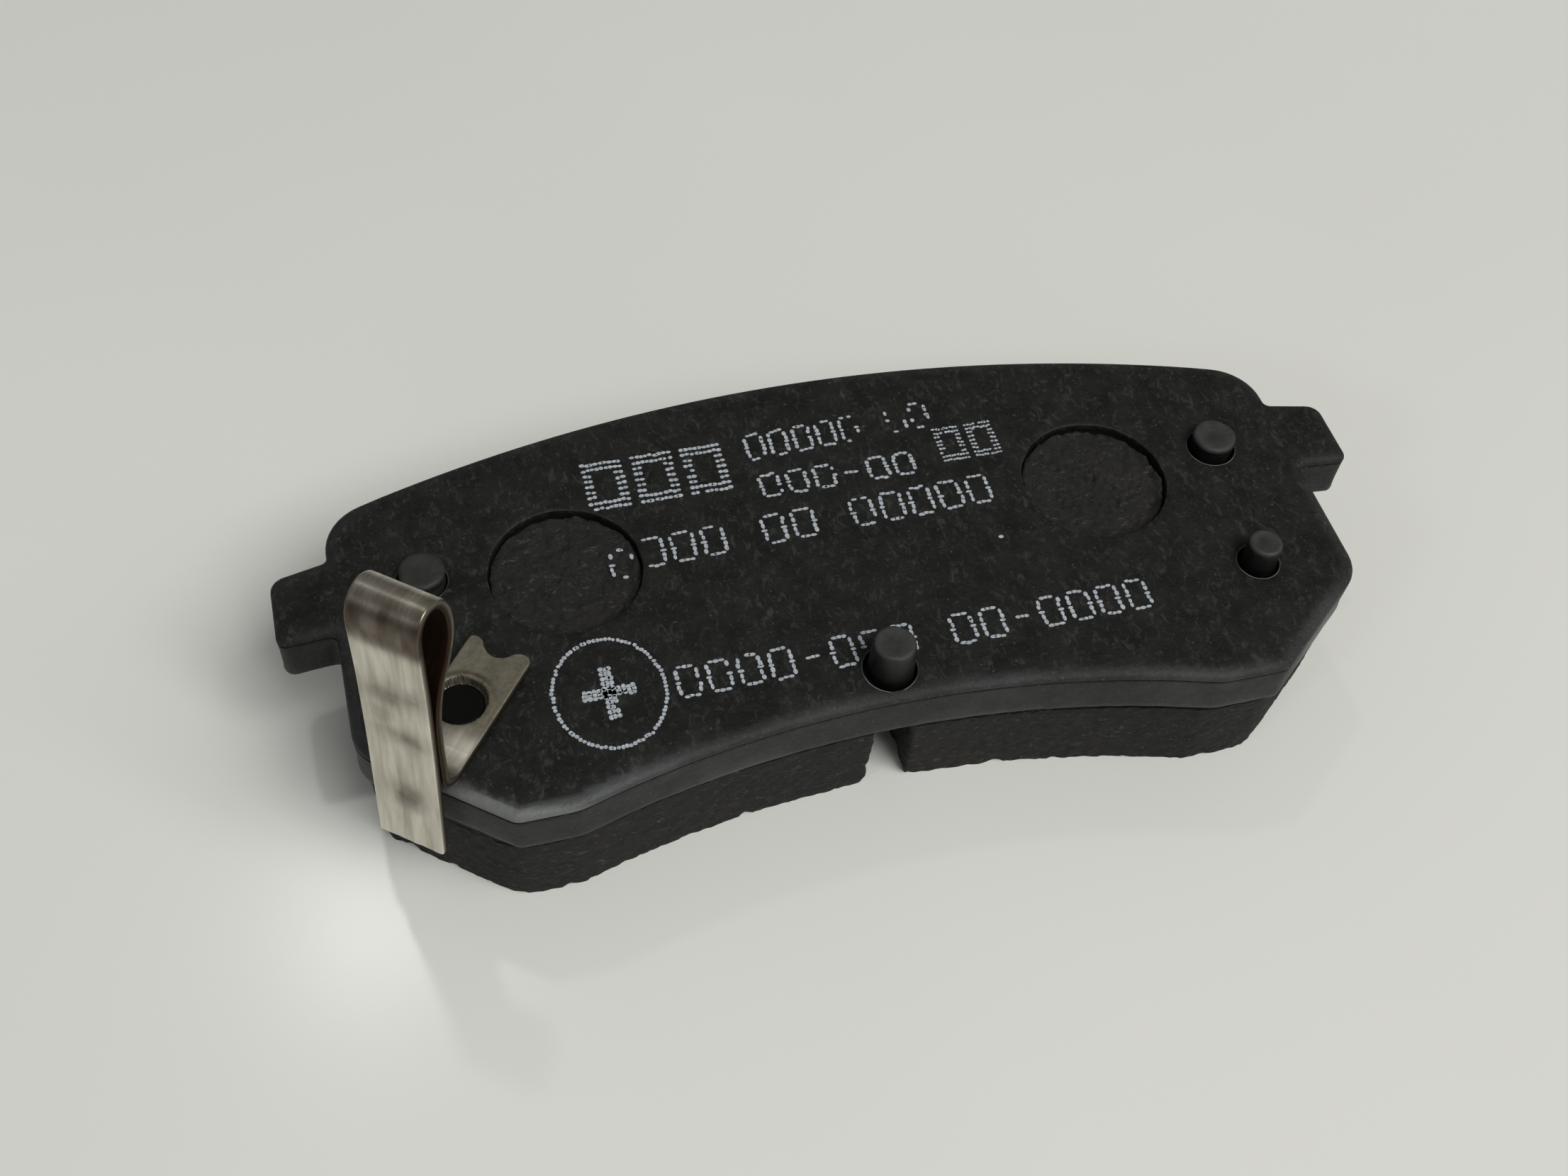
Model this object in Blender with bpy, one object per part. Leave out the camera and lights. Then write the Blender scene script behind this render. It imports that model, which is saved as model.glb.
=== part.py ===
"""A rear disc brake pad with its spring-steel wear indicator, lying on its friction face.

+Z points out of the steel backing plate, away from the brake disc, and the friction face is at z = 0.
X runs along the pad, +Y points to its longer, convex edge. The origin is the middle of the pad's outline.
All sizes are in metres.
"""

import math

import bmesh
import bpy
import numpy as np
from mathutils import Vector

# Overall sizes
BODY_LENGTH = 0.0902
EAR_LENGTH = 0.00505
PAD_HEIGHT = 0.0417
PAD_THICKNESS = 0.0150
PLATE_THICKNESS = 0.0050
UNDERLAYER_THICKNESS = 0.0012

# Outline of the backing plate
OUTER_RADIUS = 0.13485
ARCH_RISE = 0.0042
SHOULDER_FILLET = 0.0050
CHAMFER_WIDTH_LEFT = 0.0117
CHAMFER_WIDTH_RIGHT = 0.0108
CHAMFER_ANGLE = math.radians(38.5)
SIDE_FILLET = 0.0040
FOOT_FILLET = 0.0015
ARCH_BLEND = 0.0060
SHOULDER_DROP = 0.0046
EAR_WIDTH = 0.0079
EAR_TOP_DROP = 0.0011
EAR_BOTTOM_DROP = 0.0004
EAR_TOP_CORNER = 0.0015
EAR_BOTTOM_CORNER = 0.0009
EAR_ROOT_FILLET = 0.0006
DIE_ROLL_DEPTH = 0.0007
DIE_ROLL_WIDTH = 0.00085

# Friction material
LINING_INSET_AT_PLATE = 0.0006
LINING_INSET_AT_DISC = 0.0009
LINING_CHAMFER_INSET = 0.0003
LINING_CORNER = 0.0026
SLOT_WIDTH = 0.0031
SLOT_SHIFT = 0.0004
SLOT_CORNER = 0.0007

# Retention holes, which the underlayer fills from the lining side
RETENTION_RADIUS = 0.0068
RETENTION_FROM_SIDE = 0.02015
RETENTION_BELOW_TOP = 0.0180
RETENTION_RECESS = 0.0010

# Pins pressed into the plate: radius at the foot, radius at the end, height above the plate
PISTON_PIN = (0.00205, 0.00185, 0.0034)
SHIM_PIN = (0.00195, 0.00185, 0.0014)
RIVET_PIN = (0.00160, 0.00155, 0.0025)
PIN_SHIFT = 0.0002
PISTON_PIN_ABOVE_ARCH = 0.00345
SHIM_PIN_FROM_SIDE = 0.0077
SHIM_PIN_BELOW_EAR_TOP = 0.0040
RIVET_FROM_SIDE = 0.0089
RIVET_ABOVE_FOOT = 0.0115
PIN_EDGE = 0.0003
PIN_SEAT_CHAMFER = 0.0003

# Wear indicator, one bent strip, and the rivet that holds it
STRIP_WIDTH = 0.0060
STRIP_THICKNESS = 0.0008
STRIP_SHIFT = 0.0004
STRIP_STANDOFF = 0.0004
FOOT_BEYOND_RIVET = 0.00645
FOOT_BEND_RADIUS = 0.0024
INNER_LEG_OFFSET = 0.0003
NOTCH_RADIUS = 0.0014
NOTCH_DEPTH = 0.0012
RIVET_HEAD_RADIUS = 0.00245
LEG_BELOW_PLATE = 0.0014
TIP_FLARE = 0.0002
# The hairpin's inner face above the foot's bend: distance out from the plate's chamfered edge, and
# height above the plate's back, up the inner leg, round the loop and down the outer leg to the plate
HAIRPIN = (
    (0.00020, 0.0062),
    (0.00000, 0.0094),
    (-0.00047, 0.0119),
    (-0.00130, 0.0140),
    (-0.00254, 0.0159),
    (-0.00336, 0.0181),
    (-0.00333, 0.0203),
    (-0.00268, 0.0220),
    (-0.00164, 0.0227),
    (-0.00077, 0.0224),
    (-0.00027, 0.0213),
    (-0.00018, 0.0190),
    (-0.00010, 0.0152),
    (0.00006, 0.0115),
    (0.00036, 0.0062),
    (0.00078, 0.0005),
    (0.00112, -0.0040),
)

GAP = 0.0003
CORNER_STEPS = 5
ARC_STEPS = 12
ROUND_STEPS = 40

PLATE_TOP = PAD_THICKNESS
PLATE_UNDER = PAD_THICKNESS - PLATE_THICKNESS
LINING_TOP = PLATE_UNDER - UNDERLAYER_THICKNESS
ARC_CENTRE_Y = PAD_HEIGHT / 2 - OUTER_RADIUS
INNER_RADIUS = -PAD_HEIGHT / 2 + ARCH_RISE - ARC_CENTRE_Y
FOOT_Y = -PAD_HEIGHT / 2
SIDE_X = BODY_LENGTH / 2
FOOT_END_LEFT = SIDE_X - CHAMFER_WIDTH_LEFT
FOOT_END_RIGHT = SIDE_X - CHAMFER_WIDTH_RIGHT
EAR_TOP = ARC_CENTRE_Y + math.sqrt(OUTER_RADIUS**2 - SIDE_X**2) - SHOULDER_DROP
EAR_BOTTOM = EAR_TOP - EAR_WIDTH
RETENTION_PLACES = [(s * (SIDE_X - RETENTION_FROM_SIDE), -FOOT_Y - RETENTION_BELOW_TOP) for s in (-1, 1)]
PISTON_PLACE = (PIN_SHIFT, FOOT_Y + ARCH_RISE + PISTON_PIN_ABOVE_ARCH)
SHIM_LEFT = (PIN_SHIFT - SIDE_X + SHIM_PIN_FROM_SIDE, EAR_TOP - SHIM_PIN_BELOW_EAR_TOP)
SHIM_RIGHT = (PIN_SHIFT + SIDE_X - SHIM_PIN_FROM_SIDE, EAR_TOP - SHIM_PIN_BELOW_EAR_TOP)
RIVET_LEFT = (PIN_SHIFT - SIDE_X + RIVET_FROM_SIDE, FOOT_Y + RIVET_ABOVE_FOOT)
RIVET_RIGHT = (PIN_SHIFT + SIDE_X - RIVET_FROM_SIDE, FOOT_Y + RIVET_ABOVE_FOOT)


def clear_scene():
    """Remove every object of the scene that the script starts in."""
    for thing in list(bpy.context.scene.objects):
        bpy.data.objects.remove(thing, do_unlink=True)


def finish_material(name, color, roughness, metallic):
    """A plain Principled material."""
    material = bpy.data.materials.new(name)
    material.use_nodes = True
    shader = material.node_tree.nodes["Principled BSDF"]
    shader.inputs["Base Color"].default_value = (*color, 1.0)
    shader.inputs["Roughness"].default_value = roughness
    shader.inputs["Metallic"].default_value = metallic
    material.diffuse_color = (*color, 1.0)
    return material


def rounded(corners):
    """The closed outline of (x, y, radius) corners: a radius of 0 is a point, any other an arc."""
    points = []
    for i, (x, y, radius) in enumerate(corners):
        here = np.array((x, y))
        if radius == 0:
            points.append(here)
            continue
        before = np.array(corners[i - 1][:2])
        after = np.array(corners[(i + 1) % len(corners)][:2])
        back = (before - here) / np.linalg.norm(before - here)
        ahead = (after - here) / np.linalg.norm(after - here)
        half = math.acos(np.clip(back @ ahead, -1, 1)) / 2
        middle = (back + ahead) / np.linalg.norm(back + ahead)
        centre = here + middle * radius / math.sin(half)
        start = here + back * radius / math.tan(half) - centre
        end = here + ahead * radius / math.tan(half) - centre
        turn = math.pi - 2 * half
        for t in np.linspace(0, 1, CORNER_STEPS + 1):
            near, far = math.sin((1 - t) * turn), math.sin(t * turn)
            points.append(centre + (start * near + end * far) / math.sin(turn))
    return points


def arc_points(radius, x_from, x_to, steps):
    """Points of the circle about the pad's arc centre, from one x to another."""
    turns = np.linspace(math.asin(x_from / radius), math.asin(x_to / radius), steps + 1)
    return [(radius * math.sin(a), ARC_CENTRE_Y + radius * math.cos(a)) for a in turns]


def half_outline(side, inset, x_inner, ears, chamfer_inset, corner=0.0, mouth=0.0):
    """Corners of half the outline, moved inwards by inset, from the top arc round to the arch.

    side is 1 for the right half, -1 for the left. chamfer_inset moves the diagonal edge, corner, if
    given, is the radius at the foot's corner, and mouth the radius where the inner side at x_inner
    meets the two arcs.
    """
    edge = SIDE_X - inset
    foot_y = FOOT_Y + inset
    outer = OUTER_RADIUS - inset
    inner = INNER_RADIUS + inset
    foot_end = FOOT_END_RIGHT if side > 0 else FOOT_END_LEFT
    sine, cosine = math.sin(CHAMFER_ANGLE), math.cos(CHAMFER_ANGLE)
    chamfer_top = FOOT_Y + ((edge - foot_end) * sine + chamfer_inset) / cosine
    chamfer_end = foot_end + (inset * cosine - chamfer_inset) / sine
    arch_end = math.sqrt(inner**2 - (foot_y - ARC_CENTRE_Y) ** 2)
    top = arc_points(outer, x_inner, edge, ARC_STEPS)
    corners = [(*top[0], mouth)]
    corners += [(x, y, 0) for x, y in top[1:-2]]
    corners.append((*top[-1], SHOULDER_FILLET - inset))
    if ears:
        end = edge + EAR_LENGTH
        corners += [
            (edge, EAR_TOP - inset, EAR_ROOT_FILLET + inset),
            (end, EAR_TOP - EAR_TOP_DROP - inset, EAR_TOP_CORNER - inset),
            (end, EAR_BOTTOM - EAR_BOTTOM_DROP + inset, EAR_BOTTOM_CORNER - inset),
            (edge, EAR_BOTTOM + inset, EAR_ROOT_FILLET + inset),
        ]
    corners += [
        (edge, chamfer_top, SIDE_FILLET - inset),
        (chamfer_end, foot_y, corner or FOOT_FILLET - inset),
        (arch_end, foot_y, ARCH_BLEND),
    ]
    arch = arc_points(inner, x_inner, arch_end, ARC_STEPS)[::-1]
    corners += [(x, y, 0) for x, y in arch[2:-1]]
    corners.append((*arch[-1], mouth))
    return [(side * x, y, radius) for x, y, radius in corners]


def whole_outline(inset, ears, chamfer_inset, corner=0.0):
    """The whole outline, anticlockwise, with one corner point on the middle line at each arc."""
    right = half_outline(1, inset, 0.0, ears, chamfer_inset, corner)
    left = half_outline(-1, inset, 0.0, ears, chamfer_inset, corner)
    return rounded(right[::-1] + left[1:-1])


def block_outline(side, inset):
    """The outline of one friction block, anticlockwise. side is 1 for the right one, -1 for the left."""
    wall = SLOT_WIDTH / 2 + side * SLOT_SHIFT
    half = half_outline(side, inset, wall, False, LINING_CHAMFER_INSET, LINING_CORNER, SLOT_CORNER)
    return rounded(half[::-1] if side > 0 else half)


def mesh_object(name, points, faces, material=None):
    """A new object of these points and faces."""
    mesh = bpy.data.meshes.new(name)
    mesh.from_pydata([tuple(p) for p in points], [], faces)
    mesh.validate()
    thing = bpy.data.objects.new(name, mesh)
    bpy.context.scene.collection.objects.link(thing)
    if material:
        mesh.materials.append(material)
    return thing


def recalculate(thing):
    """Turn the object's faces outwards."""
    work = bmesh.new()
    work.from_mesh(thing.data)
    bmesh.ops.recalc_face_normals(work, faces=work.faces)
    work.to_mesh(thing.data)
    work.free()


def smooth(thing, degrees=35):
    """Shade the rounds smooth and keep the edges sharper than the given angle."""
    thing.data.shade_smooth()
    thing.data.set_sharp_from_angle(angle=math.radians(degrees))


def prism(name, rings, material):
    """A closed body through rings of (outline, z), lowest first, with flat ends."""
    count = len(rings[0][0])
    points = [(p[0], p[1], z) for outline, z in rings for p in outline]
    faces = [list(range(count))[::-1]]
    for level in range(len(rings) - 1):
        low, high = level * count, (level + 1) * count
        for i in range(count):
            j = (i + 1) % count
            faces.append([low + i, low + j, high + j, high + i])
    faces.append([(len(rings) - 1) * count + i for i in range(count)])
    thing = mesh_object(name, points, faces, material)
    smooth(thing)
    return thing


def turned(name, profile, x, y, material=None):
    """A closed body turned about a vertical axis at x, y from (radius, z) points, bottom to top."""
    angles = np.arange(ROUND_STEPS) * 2 * math.pi / ROUND_STEPS
    points = [(x, y, profile[0][1])]
    for radius, z in profile:
        points += [(x + radius * math.cos(a), y + radius * math.sin(a), z) for a in angles]
    points.append((x, y, profile[-1][1]))
    last = len(points) - 1
    faces = []
    for i in range(ROUND_STEPS):
        j = (i + 1) % ROUND_STEPS
        faces.append([0, 1 + j, 1 + i])
        for level in range(len(profile) - 1):
            low, high = 1 + level * ROUND_STEPS, 1 + (level + 1) * ROUND_STEPS
            faces.append([low + i, low + j, high + j, high + i])
        faces.append([last, last - ROUND_STEPS + i, last - ROUND_STEPS + j])
    thing = mesh_object(name, points, faces, material)
    smooth(thing)
    return thing


def combine(thing, other, operation):
    """A live Boolean of another object, which is then only a guide."""
    modifier = thing.modifiers.new(operation.lower(), "BOOLEAN")
    modifier.operation = operation
    modifier.solver = "EXACT"
    modifier.object = other
    other.hide_render = True
    other.display_type = "WIRE"


def pin_seat(name, radius, place):
    """The cutter for a pin's hole: right through the plate, with a small chamfer at its back."""
    hole = radius + GAP
    profile = [
        (hole, PLATE_UNDER - PLATE_THICKNESS),
        (hole, PLATE_TOP - PIN_SEAT_CHAMFER),
        (hole + 2 * PIN_SEAT_CHAMFER, PLATE_TOP + PIN_SEAT_CHAMFER),
        (hole + 2 * PIN_SEAT_CHAMFER, PLATE_TOP + PLATE_THICKNESS),
    ]
    return turned(name, profile, *place)


def pin(name, sizes, place, material):
    """A pin pressed into the plate, flush with its lining side and standing out of its back."""
    foot, end, height = sizes
    top = PLATE_TOP + height
    profile = [
        (foot, PLATE_UNDER),
        (foot, PLATE_TOP),
        (end, top - PIN_EDGE),
        (end - PIN_EDGE, top),
    ]
    return turned(name, profile, *place, material)


def backing_plate(material):
    """The stamped steel plate: its outline with ears, die roll at its back, and all its holes."""
    outline = whole_outline(0.0, True, 0.0)
    rings = [(outline, PLATE_UNDER)]
    for share in (0.0, 0.45, 0.8, 1.0):
        inset = DIE_ROLL_WIDTH * (1 - math.cos(share * math.pi / 2))
        z = PLATE_TOP - DIE_ROLL_DEPTH * (1 - math.sin(share * math.pi / 2))
        rings.append((whole_outline(inset, True, inset), z))
    plate = prism("backing_plate", rings, material)
    profile = [
        (RETENTION_RADIUS, PLATE_UNDER - PLATE_THICKNESS),
        (RETENTION_RADIUS, PLATE_TOP + PLATE_THICKNESS),
    ]
    for place in RETENTION_PLACES:
        combine(plate, turned("retention_cutter", profile, *place), "DIFFERENCE")
    seats = [
        ("piston_seat", PISTON_PIN, PISTON_PLACE),
        ("shim_seat_left", SHIM_PIN, SHIM_LEFT),
        ("shim_seat_right", SHIM_PIN, SHIM_RIGHT),
        ("rivet_seat_right", RIVET_PIN, RIVET_RIGHT),
        ("rivet_seat_left", RIVET_PIN, RIVET_LEFT),
    ]
    for name, sizes, place in seats:
        combine(plate, pin_seat(name, sizes[0], place), "DIFFERENCE")
    return plate


def underlayer(material):
    """The thin layer that bonds the friction material, with a plug up each retention hole."""
    outline = whole_outline(LINING_INSET_AT_PLATE, False, LINING_CHAMFER_INSET, LINING_CORNER)
    slab = prism("underlayer", [(outline, LINING_TOP), (outline, PLATE_UNDER - GAP)], material)
    inside = LINING_TOP + (PLATE_UNDER - GAP - LINING_TOP) / 2
    radius = RETENTION_RADIUS - GAP
    profile = [(radius, inside), (radius, PLATE_TOP - RETENTION_RECESS)]
    for place in RETENTION_PLACES:
        combine(slab, turned("plug", profile, *place), "UNION")
    return slab


def friction_block(name, side, material):
    """Half of the friction material, on one side of the slot, drafted towards the disc."""
    rings = [
        (block_outline(side, LINING_INSET_AT_DISC), 0.0),
        (block_outline(side, LINING_INSET_AT_PLATE), LINING_TOP - GAP),
    ]
    return prism(name, rings, material)


def smooth_path(knots, steps):
    """A Catmull-Rom curve through the knots, as an array, with a number of steps between each two."""
    ends = np.vstack([2 * knots[0] - knots[1], knots, 2 * knots[-1] - knots[-2]])
    pieces = []
    for a, b, c, d in zip(ends[:-3], ends[1:-2], ends[2:-1], ends[3:]):
        t = (np.arange(steps) / steps)[:, None]
        cubic = (2 * b + (c - a) * t + (2 * a - 5 * b + 4 * c - d) * t**2) / 2
        pieces.append(cubic + (3 * b - a - 3 * c + d) * t**3 / 2)
    return np.vstack(pieces + [knots[-1:]])


def strip_axes():
    """The strip's base point, its outward direction and the direction of its width.

    The strip crosses the chamfered edge square, a little to the right of its rivet. The base point
    lies under the strip's middle line, at a standoff outside the edge.
    """
    outward = np.array((-math.sin(CHAMFER_ANGLE), -math.cos(CHAMFER_ANGLE)))
    across = np.array((math.cos(CHAMFER_ANGLE), -math.sin(CHAMFER_ANGLE)))
    corner = np.array((-FOOT_END_LEFT, FOOT_Y))
    middle = np.array(RIVET_LEFT) + STRIP_SHIFT * across
    return middle + outward * ((corner - middle) @ outward + STRIP_STANDOFF), outward, across


def strip_path():
    """The strip's face next to the plate and inside the hairpin, as (distance out, height) pairs.

    It runs along the foot's underside, round the bend and up the inner leg, round the loop and down
    the outer leg. The thickness lies on its other side, so a thicker strip keeps the same gaps.
    """
    base, outward, _ = strip_axes()
    rivet = (np.array(RIVET_LEFT) - base) @ outward
    floor = PLATE_TOP + GAP
    centre = INNER_LEG_OFFSET - FOOT_BEND_RADIUS
    flat = [(rivet - FOOT_BEYOND_RIVET, floor), (rivet, floor)]
    bend = [
        (centre + FOOT_BEND_RADIUS * math.sin(a), floor + FOOT_BEND_RADIUS * (1 - math.cos(a)))
        for a in np.linspace(0, math.pi / 2, 7)
    ]
    raised = [(out, PLATE_TOP + up) for out, up in HAIRPIN]
    tip = (HAIRPIN[-1][0] + TIP_FLARE, PLATE_UNDER - LEG_BELOW_PLATE)
    hairpin = smooth_path(np.array([bend[-1]] + raised + [tip]), 4)
    return np.vstack([np.array(flat + bend[:-1]), hairpin])


def wear_indicator(material):
    """The indicator: foot on the plate, hairpin above it, and a leg down past the chamfered edge."""
    base, outward, across = strip_axes()
    path = strip_path()
    along = np.gradient(path, axis=0)
    along /= np.linalg.norm(along, axis=1)[:, None]
    normal = np.stack([-along[:, 1], along[:, 0]], 1)
    points = []
    for depth, edge in ((STRIP_THICKNESS, -1), (STRIP_THICKNESS, 1), (0, 1), (0, -1)):
        line = path + normal * depth
        place = base + line[:, :1] * outward + edge * across * STRIP_WIDTH / 2
        points.append(np.column_stack([place, line[:, 1]]))
    count = len(path)
    faces = [[0, count, 2 * count, 3 * count]]
    for i in range(count - 1):
        for a in range(4):
            low, high = a * count + i, ((a + 1) % 4) * count + i
            faces.append([low, low + 1, high + 1, high])
    faces.append([4 * count - 1, 3 * count - 1, 2 * count - 1, count - 1])
    strip = mesh_object("wear_indicator", np.vstack(points), faces, material)
    recalculate(strip)
    smooth(strip)
    foot_end = path[0, 0]
    notch = base + (foot_end + NOTCH_DEPTH - NOTCH_RADIUS) * outward
    deep = (PLATE_TOP - PLATE_THICKNESS, PLATE_TOP + PLATE_THICKNESS)
    notch_cutter = turned("notch_cutter", [(NOTCH_RADIUS, z) for z in deep], *notch)
    combine(strip, notch_cutter, "DIFFERENCE")
    low = PLATE_TOP + GAP
    slope = (RIVET_HEAD_RADIUS - RIVET_PIN[0]) / STRIP_THICKNESS
    clearance = GAP * math.hypot(1, slope)
    profile = [
        (RIVET_PIN[0] + clearance - slope * GAP, low - GAP),
        (RIVET_HEAD_RADIUS + clearance + slope * GAP, low + STRIP_THICKNESS + GAP),
    ]
    hole_cutter = turned("rivet_hole_cutter", profile, *RIVET_LEFT)
    combine(strip, hole_cutter, "DIFFERENCE")
    return strip


def indicator_rivet(material):
    """The pin that is staked over the indicator's foot, its head sunk flush into the foot's hole."""
    low = PLATE_TOP + GAP
    profile = [
        (RIVET_PIN[0], PLATE_UNDER),
        (RIVET_PIN[0], low),
        (RIVET_HEAD_RADIUS, low + STRIP_THICKNESS),
        (RIVET_HEAD_RADIUS, low + STRIP_THICKNESS + GAP / 2),
    ]
    return turned("indicator_rivet", profile, *RIVET_LEFT, material)


def main():
    """Build the pad, lowest piece first."""
    clear_scene()
    coated = finish_material("coated_steel", (0.030, 0.030, 0.029), 0.62, 0.0)
    friction = finish_material("friction_material", (0.045, 0.043, 0.041), 0.95, 0.0)
    bond = finish_material("underlayer_material", (0.038, 0.037, 0.034), 0.95, 0.0)
    pin_steel = finish_material("pin_steel", (0.055, 0.055, 0.053), 0.55, 0.3)
    spring = finish_material("spring_steel", (0.56, 0.52, 0.44), 0.32, 1.0)
    friction_block("friction_block_left", -1, friction)
    friction_block("friction_block_right", 1, friction)
    underlayer(bond)
    backing_plate(coated)
    pin("piston_pin", PISTON_PIN, PISTON_PLACE, pin_steel)
    pin("shim_pin_left", SHIM_PIN, SHIM_LEFT, pin_steel)
    pin("shim_pin_right", SHIM_PIN, SHIM_RIGHT, pin_steel)
    pin("rivet_pin_right", RIVET_PIN, RIVET_RIGHT, pin_steel)
    wear_indicator(spring)
    indicator_rivet(pin_steel)


main()
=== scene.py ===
import math

import bpy
import numpy as np
from mathutils import Matrix, Vector
from mathutils.geometry import delaunay_2d_cdt


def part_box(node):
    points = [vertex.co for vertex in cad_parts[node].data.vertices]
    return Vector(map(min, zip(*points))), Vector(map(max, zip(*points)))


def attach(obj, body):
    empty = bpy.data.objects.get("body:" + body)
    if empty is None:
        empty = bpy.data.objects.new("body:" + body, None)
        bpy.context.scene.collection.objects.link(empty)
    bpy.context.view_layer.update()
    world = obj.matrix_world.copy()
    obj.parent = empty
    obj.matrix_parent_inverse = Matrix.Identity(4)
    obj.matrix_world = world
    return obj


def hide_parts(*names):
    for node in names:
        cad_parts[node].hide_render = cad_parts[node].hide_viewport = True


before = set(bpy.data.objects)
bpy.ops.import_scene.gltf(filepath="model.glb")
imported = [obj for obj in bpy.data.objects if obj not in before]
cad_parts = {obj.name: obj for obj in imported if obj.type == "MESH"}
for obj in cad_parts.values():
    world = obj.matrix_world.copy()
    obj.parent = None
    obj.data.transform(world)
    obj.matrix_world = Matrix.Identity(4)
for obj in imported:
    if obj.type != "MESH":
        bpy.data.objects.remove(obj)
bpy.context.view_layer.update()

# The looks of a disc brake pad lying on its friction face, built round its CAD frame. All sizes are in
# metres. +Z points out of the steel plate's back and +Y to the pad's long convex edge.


def box(node):
    """The lowest and highest corners of a CAD node, as arrays."""
    return tuple(np.array(corner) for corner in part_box(node))


PLATE_LOW, PLATE_HIGH = box("backing_plate")
LINING_LOW, LINING_HIGH = box("underlayer")
_, LEFT_BLOCK_HIGH = box("friction_block_left")
RIGHT_BLOCK_LOW, _ = box("friction_block_right")
LINING_INSET = 0.0006
PLATE_TOP = PLATE_HIGH[2]
PLATE_UNDER = PLATE_LOW[2]
SIDE_X = LINING_HIGH[0] + LINING_INSET
FOOT_Y = PLATE_LOW[1]

# The outline, from the same driving dimensions as the plate in the frame
OUTER_RADIUS = 0.13485
ARCH_RISE = 0.0042
SHOULDER_FILLET = 0.0050
CHAMFER_WIDTHS = {-1: 0.0117, 1: 0.0108}
CHAMFER_ANGLE = math.radians(38.5)
SIDE_FILLET = 0.0040
FOOT_FILLET = 0.0015
ARCH_BLEND = 0.0060
SHOULDER_DROP = 0.0046
EAR_WIDTH = 0.0079
EAR_TOP_DROP = 0.0011
EAR_BOTTOM_DROP = 0.0004
EAR_TOP_CORNER = 0.0015
EAR_BOTTOM_CORNER = 0.0010
EAR_ROOT_FILLET = 0.0006
ARC_CENTRE_Y = PLATE_HIGH[1] - OUTER_RADIUS
INNER_RADIUS = FOOT_Y + ARCH_RISE - ARC_CENTRE_Y
EAR_TOP = ARC_CENTRE_Y + math.sqrt(OUTER_RADIUS**2 - SIDE_X**2) - SHOULDER_DROP
# Steps of each half arc, and how many of its points give way to the round of the corner beside it
ARC_STEPS = 24
SHOULDER_ROOM = 2
ARCH_ROOM = 3

# Retention holes
RETENTION_RADIUS = 0.0068
RETENTION_X = SIDE_X - 0.02015
RETENTION_Y = -FOOT_Y - 0.0180
RETENTION_RECESS = 0.0010

# Wear indicator, and the (distance out, height over the plate) points of its inner face
STRIP_WIDTH = 0.0060
STRIP_THICKNESS = 0.0008
STRIP_SHIFT = 0.0004
STRIP_STANDOFF = 0.0004
FOOT_BEYOND_RIVET = 0.0063
FOOT_BEND_RADIUS = 0.0024
INNER_LEG_OFFSET = 0.0003
FOOT_REST = 0.00012
HAIRPIN = (
    (0.00020, 0.0062), (0.00000, 0.0094), (-0.00047, 0.0119), (-0.00130, 0.0140), (-0.00254, 0.0159),
    (-0.00336, 0.0181), (-0.00333, 0.0203), (-0.00268, 0.0220), (-0.00164, 0.0227), (-0.00077, 0.0224),
    (-0.00027, 0.0213), (-0.00018, 0.0190), (-0.00010, 0.0152), (0.00006, 0.0115), (0.00036, 0.0062),
    (0.00078, 0.0005), (0.00112, -0.0040),
)
TIP = (0.00132, -0.0064)

# Viewing angle and lens
VIEW_AZIMUTH = math.radians(-19.098)
VIEW_ELEVATION = math.radians(52.998)
VIEW_ROLL = math.radians(5.328)
VIEW_DISTANCE = 0.175787
VIEW_TARGET = (-0.002967, 0.007451, 0.0)
LENS = 40.98


# ---------------------------------------------------------------- small array tools


def unit(rows):
    """Each row of an array at length one."""
    return rows / np.linalg.norm(rows, axis=-1, keepdims=True)


def bell(x, middle, reach, power=2):
    """1 at the middle, falling to 1/e at the reach on both sides, steeper for a higher power."""
    return np.exp(-(((x - middle) / reach) ** power))


def smoothstep(low, high, x):
    """0 below low, 1 above high, and the cubic 3t^2 - 2t^3 between."""
    t = np.clip((x - low) / (high - low), 0, 1)
    return t * t * (3 - 2 * t)


def grain(points, size, seed, waves=22):
    """Bumps of about a given size: the sum of sine waves of random direction, length and phase."""
    random = np.random.default_rng(seed)
    ways = unit(random.normal(size=(waves, points.shape[-1])))
    ways *= 2 * math.pi / (size * random.uniform(0.6, 1.7, (waves, 1)))
    phases = random.uniform(0, 2 * math.pi, waves)
    return np.sin(points @ ways.T + phases).sum(-1) / math.sqrt(waves)


CORNER_STEPS = 9
LEAST_RADIUS = 1e-7


def rounded(corners):
    """The closed path round (x, y, radius) corners: at each an arc that touches both its sides."""
    corners = np.array(corners)
    here = corners[:, :2]
    radius = np.maximum(corners[:, 2], LEAST_RADIUS)[:, None]
    back = unit(np.roll(here, 1, 0) - here)
    ahead = unit(np.roll(here, -1, 0) - here)
    half = np.arccos(np.clip((back * ahead).sum(1, keepdims=True), -1, 1)) / 2
    centre = here + unit(back + ahead) * radius / np.sin(half)
    start = here + back * radius / np.tan(half) - centre
    end = here + ahead * radius / np.tan(half) - centre
    turn = (math.pi - 2 * half)[:, :, None]
    t = np.linspace(0, 1, CORNER_STEPS)[None, :, None]
    arc = start[:, None] * np.sin((1 - t) * turn) + end[:, None] * np.sin(t * turn)
    return (centre[:, None] + arc / np.sin(turn)).reshape(-1, 2)


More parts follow.
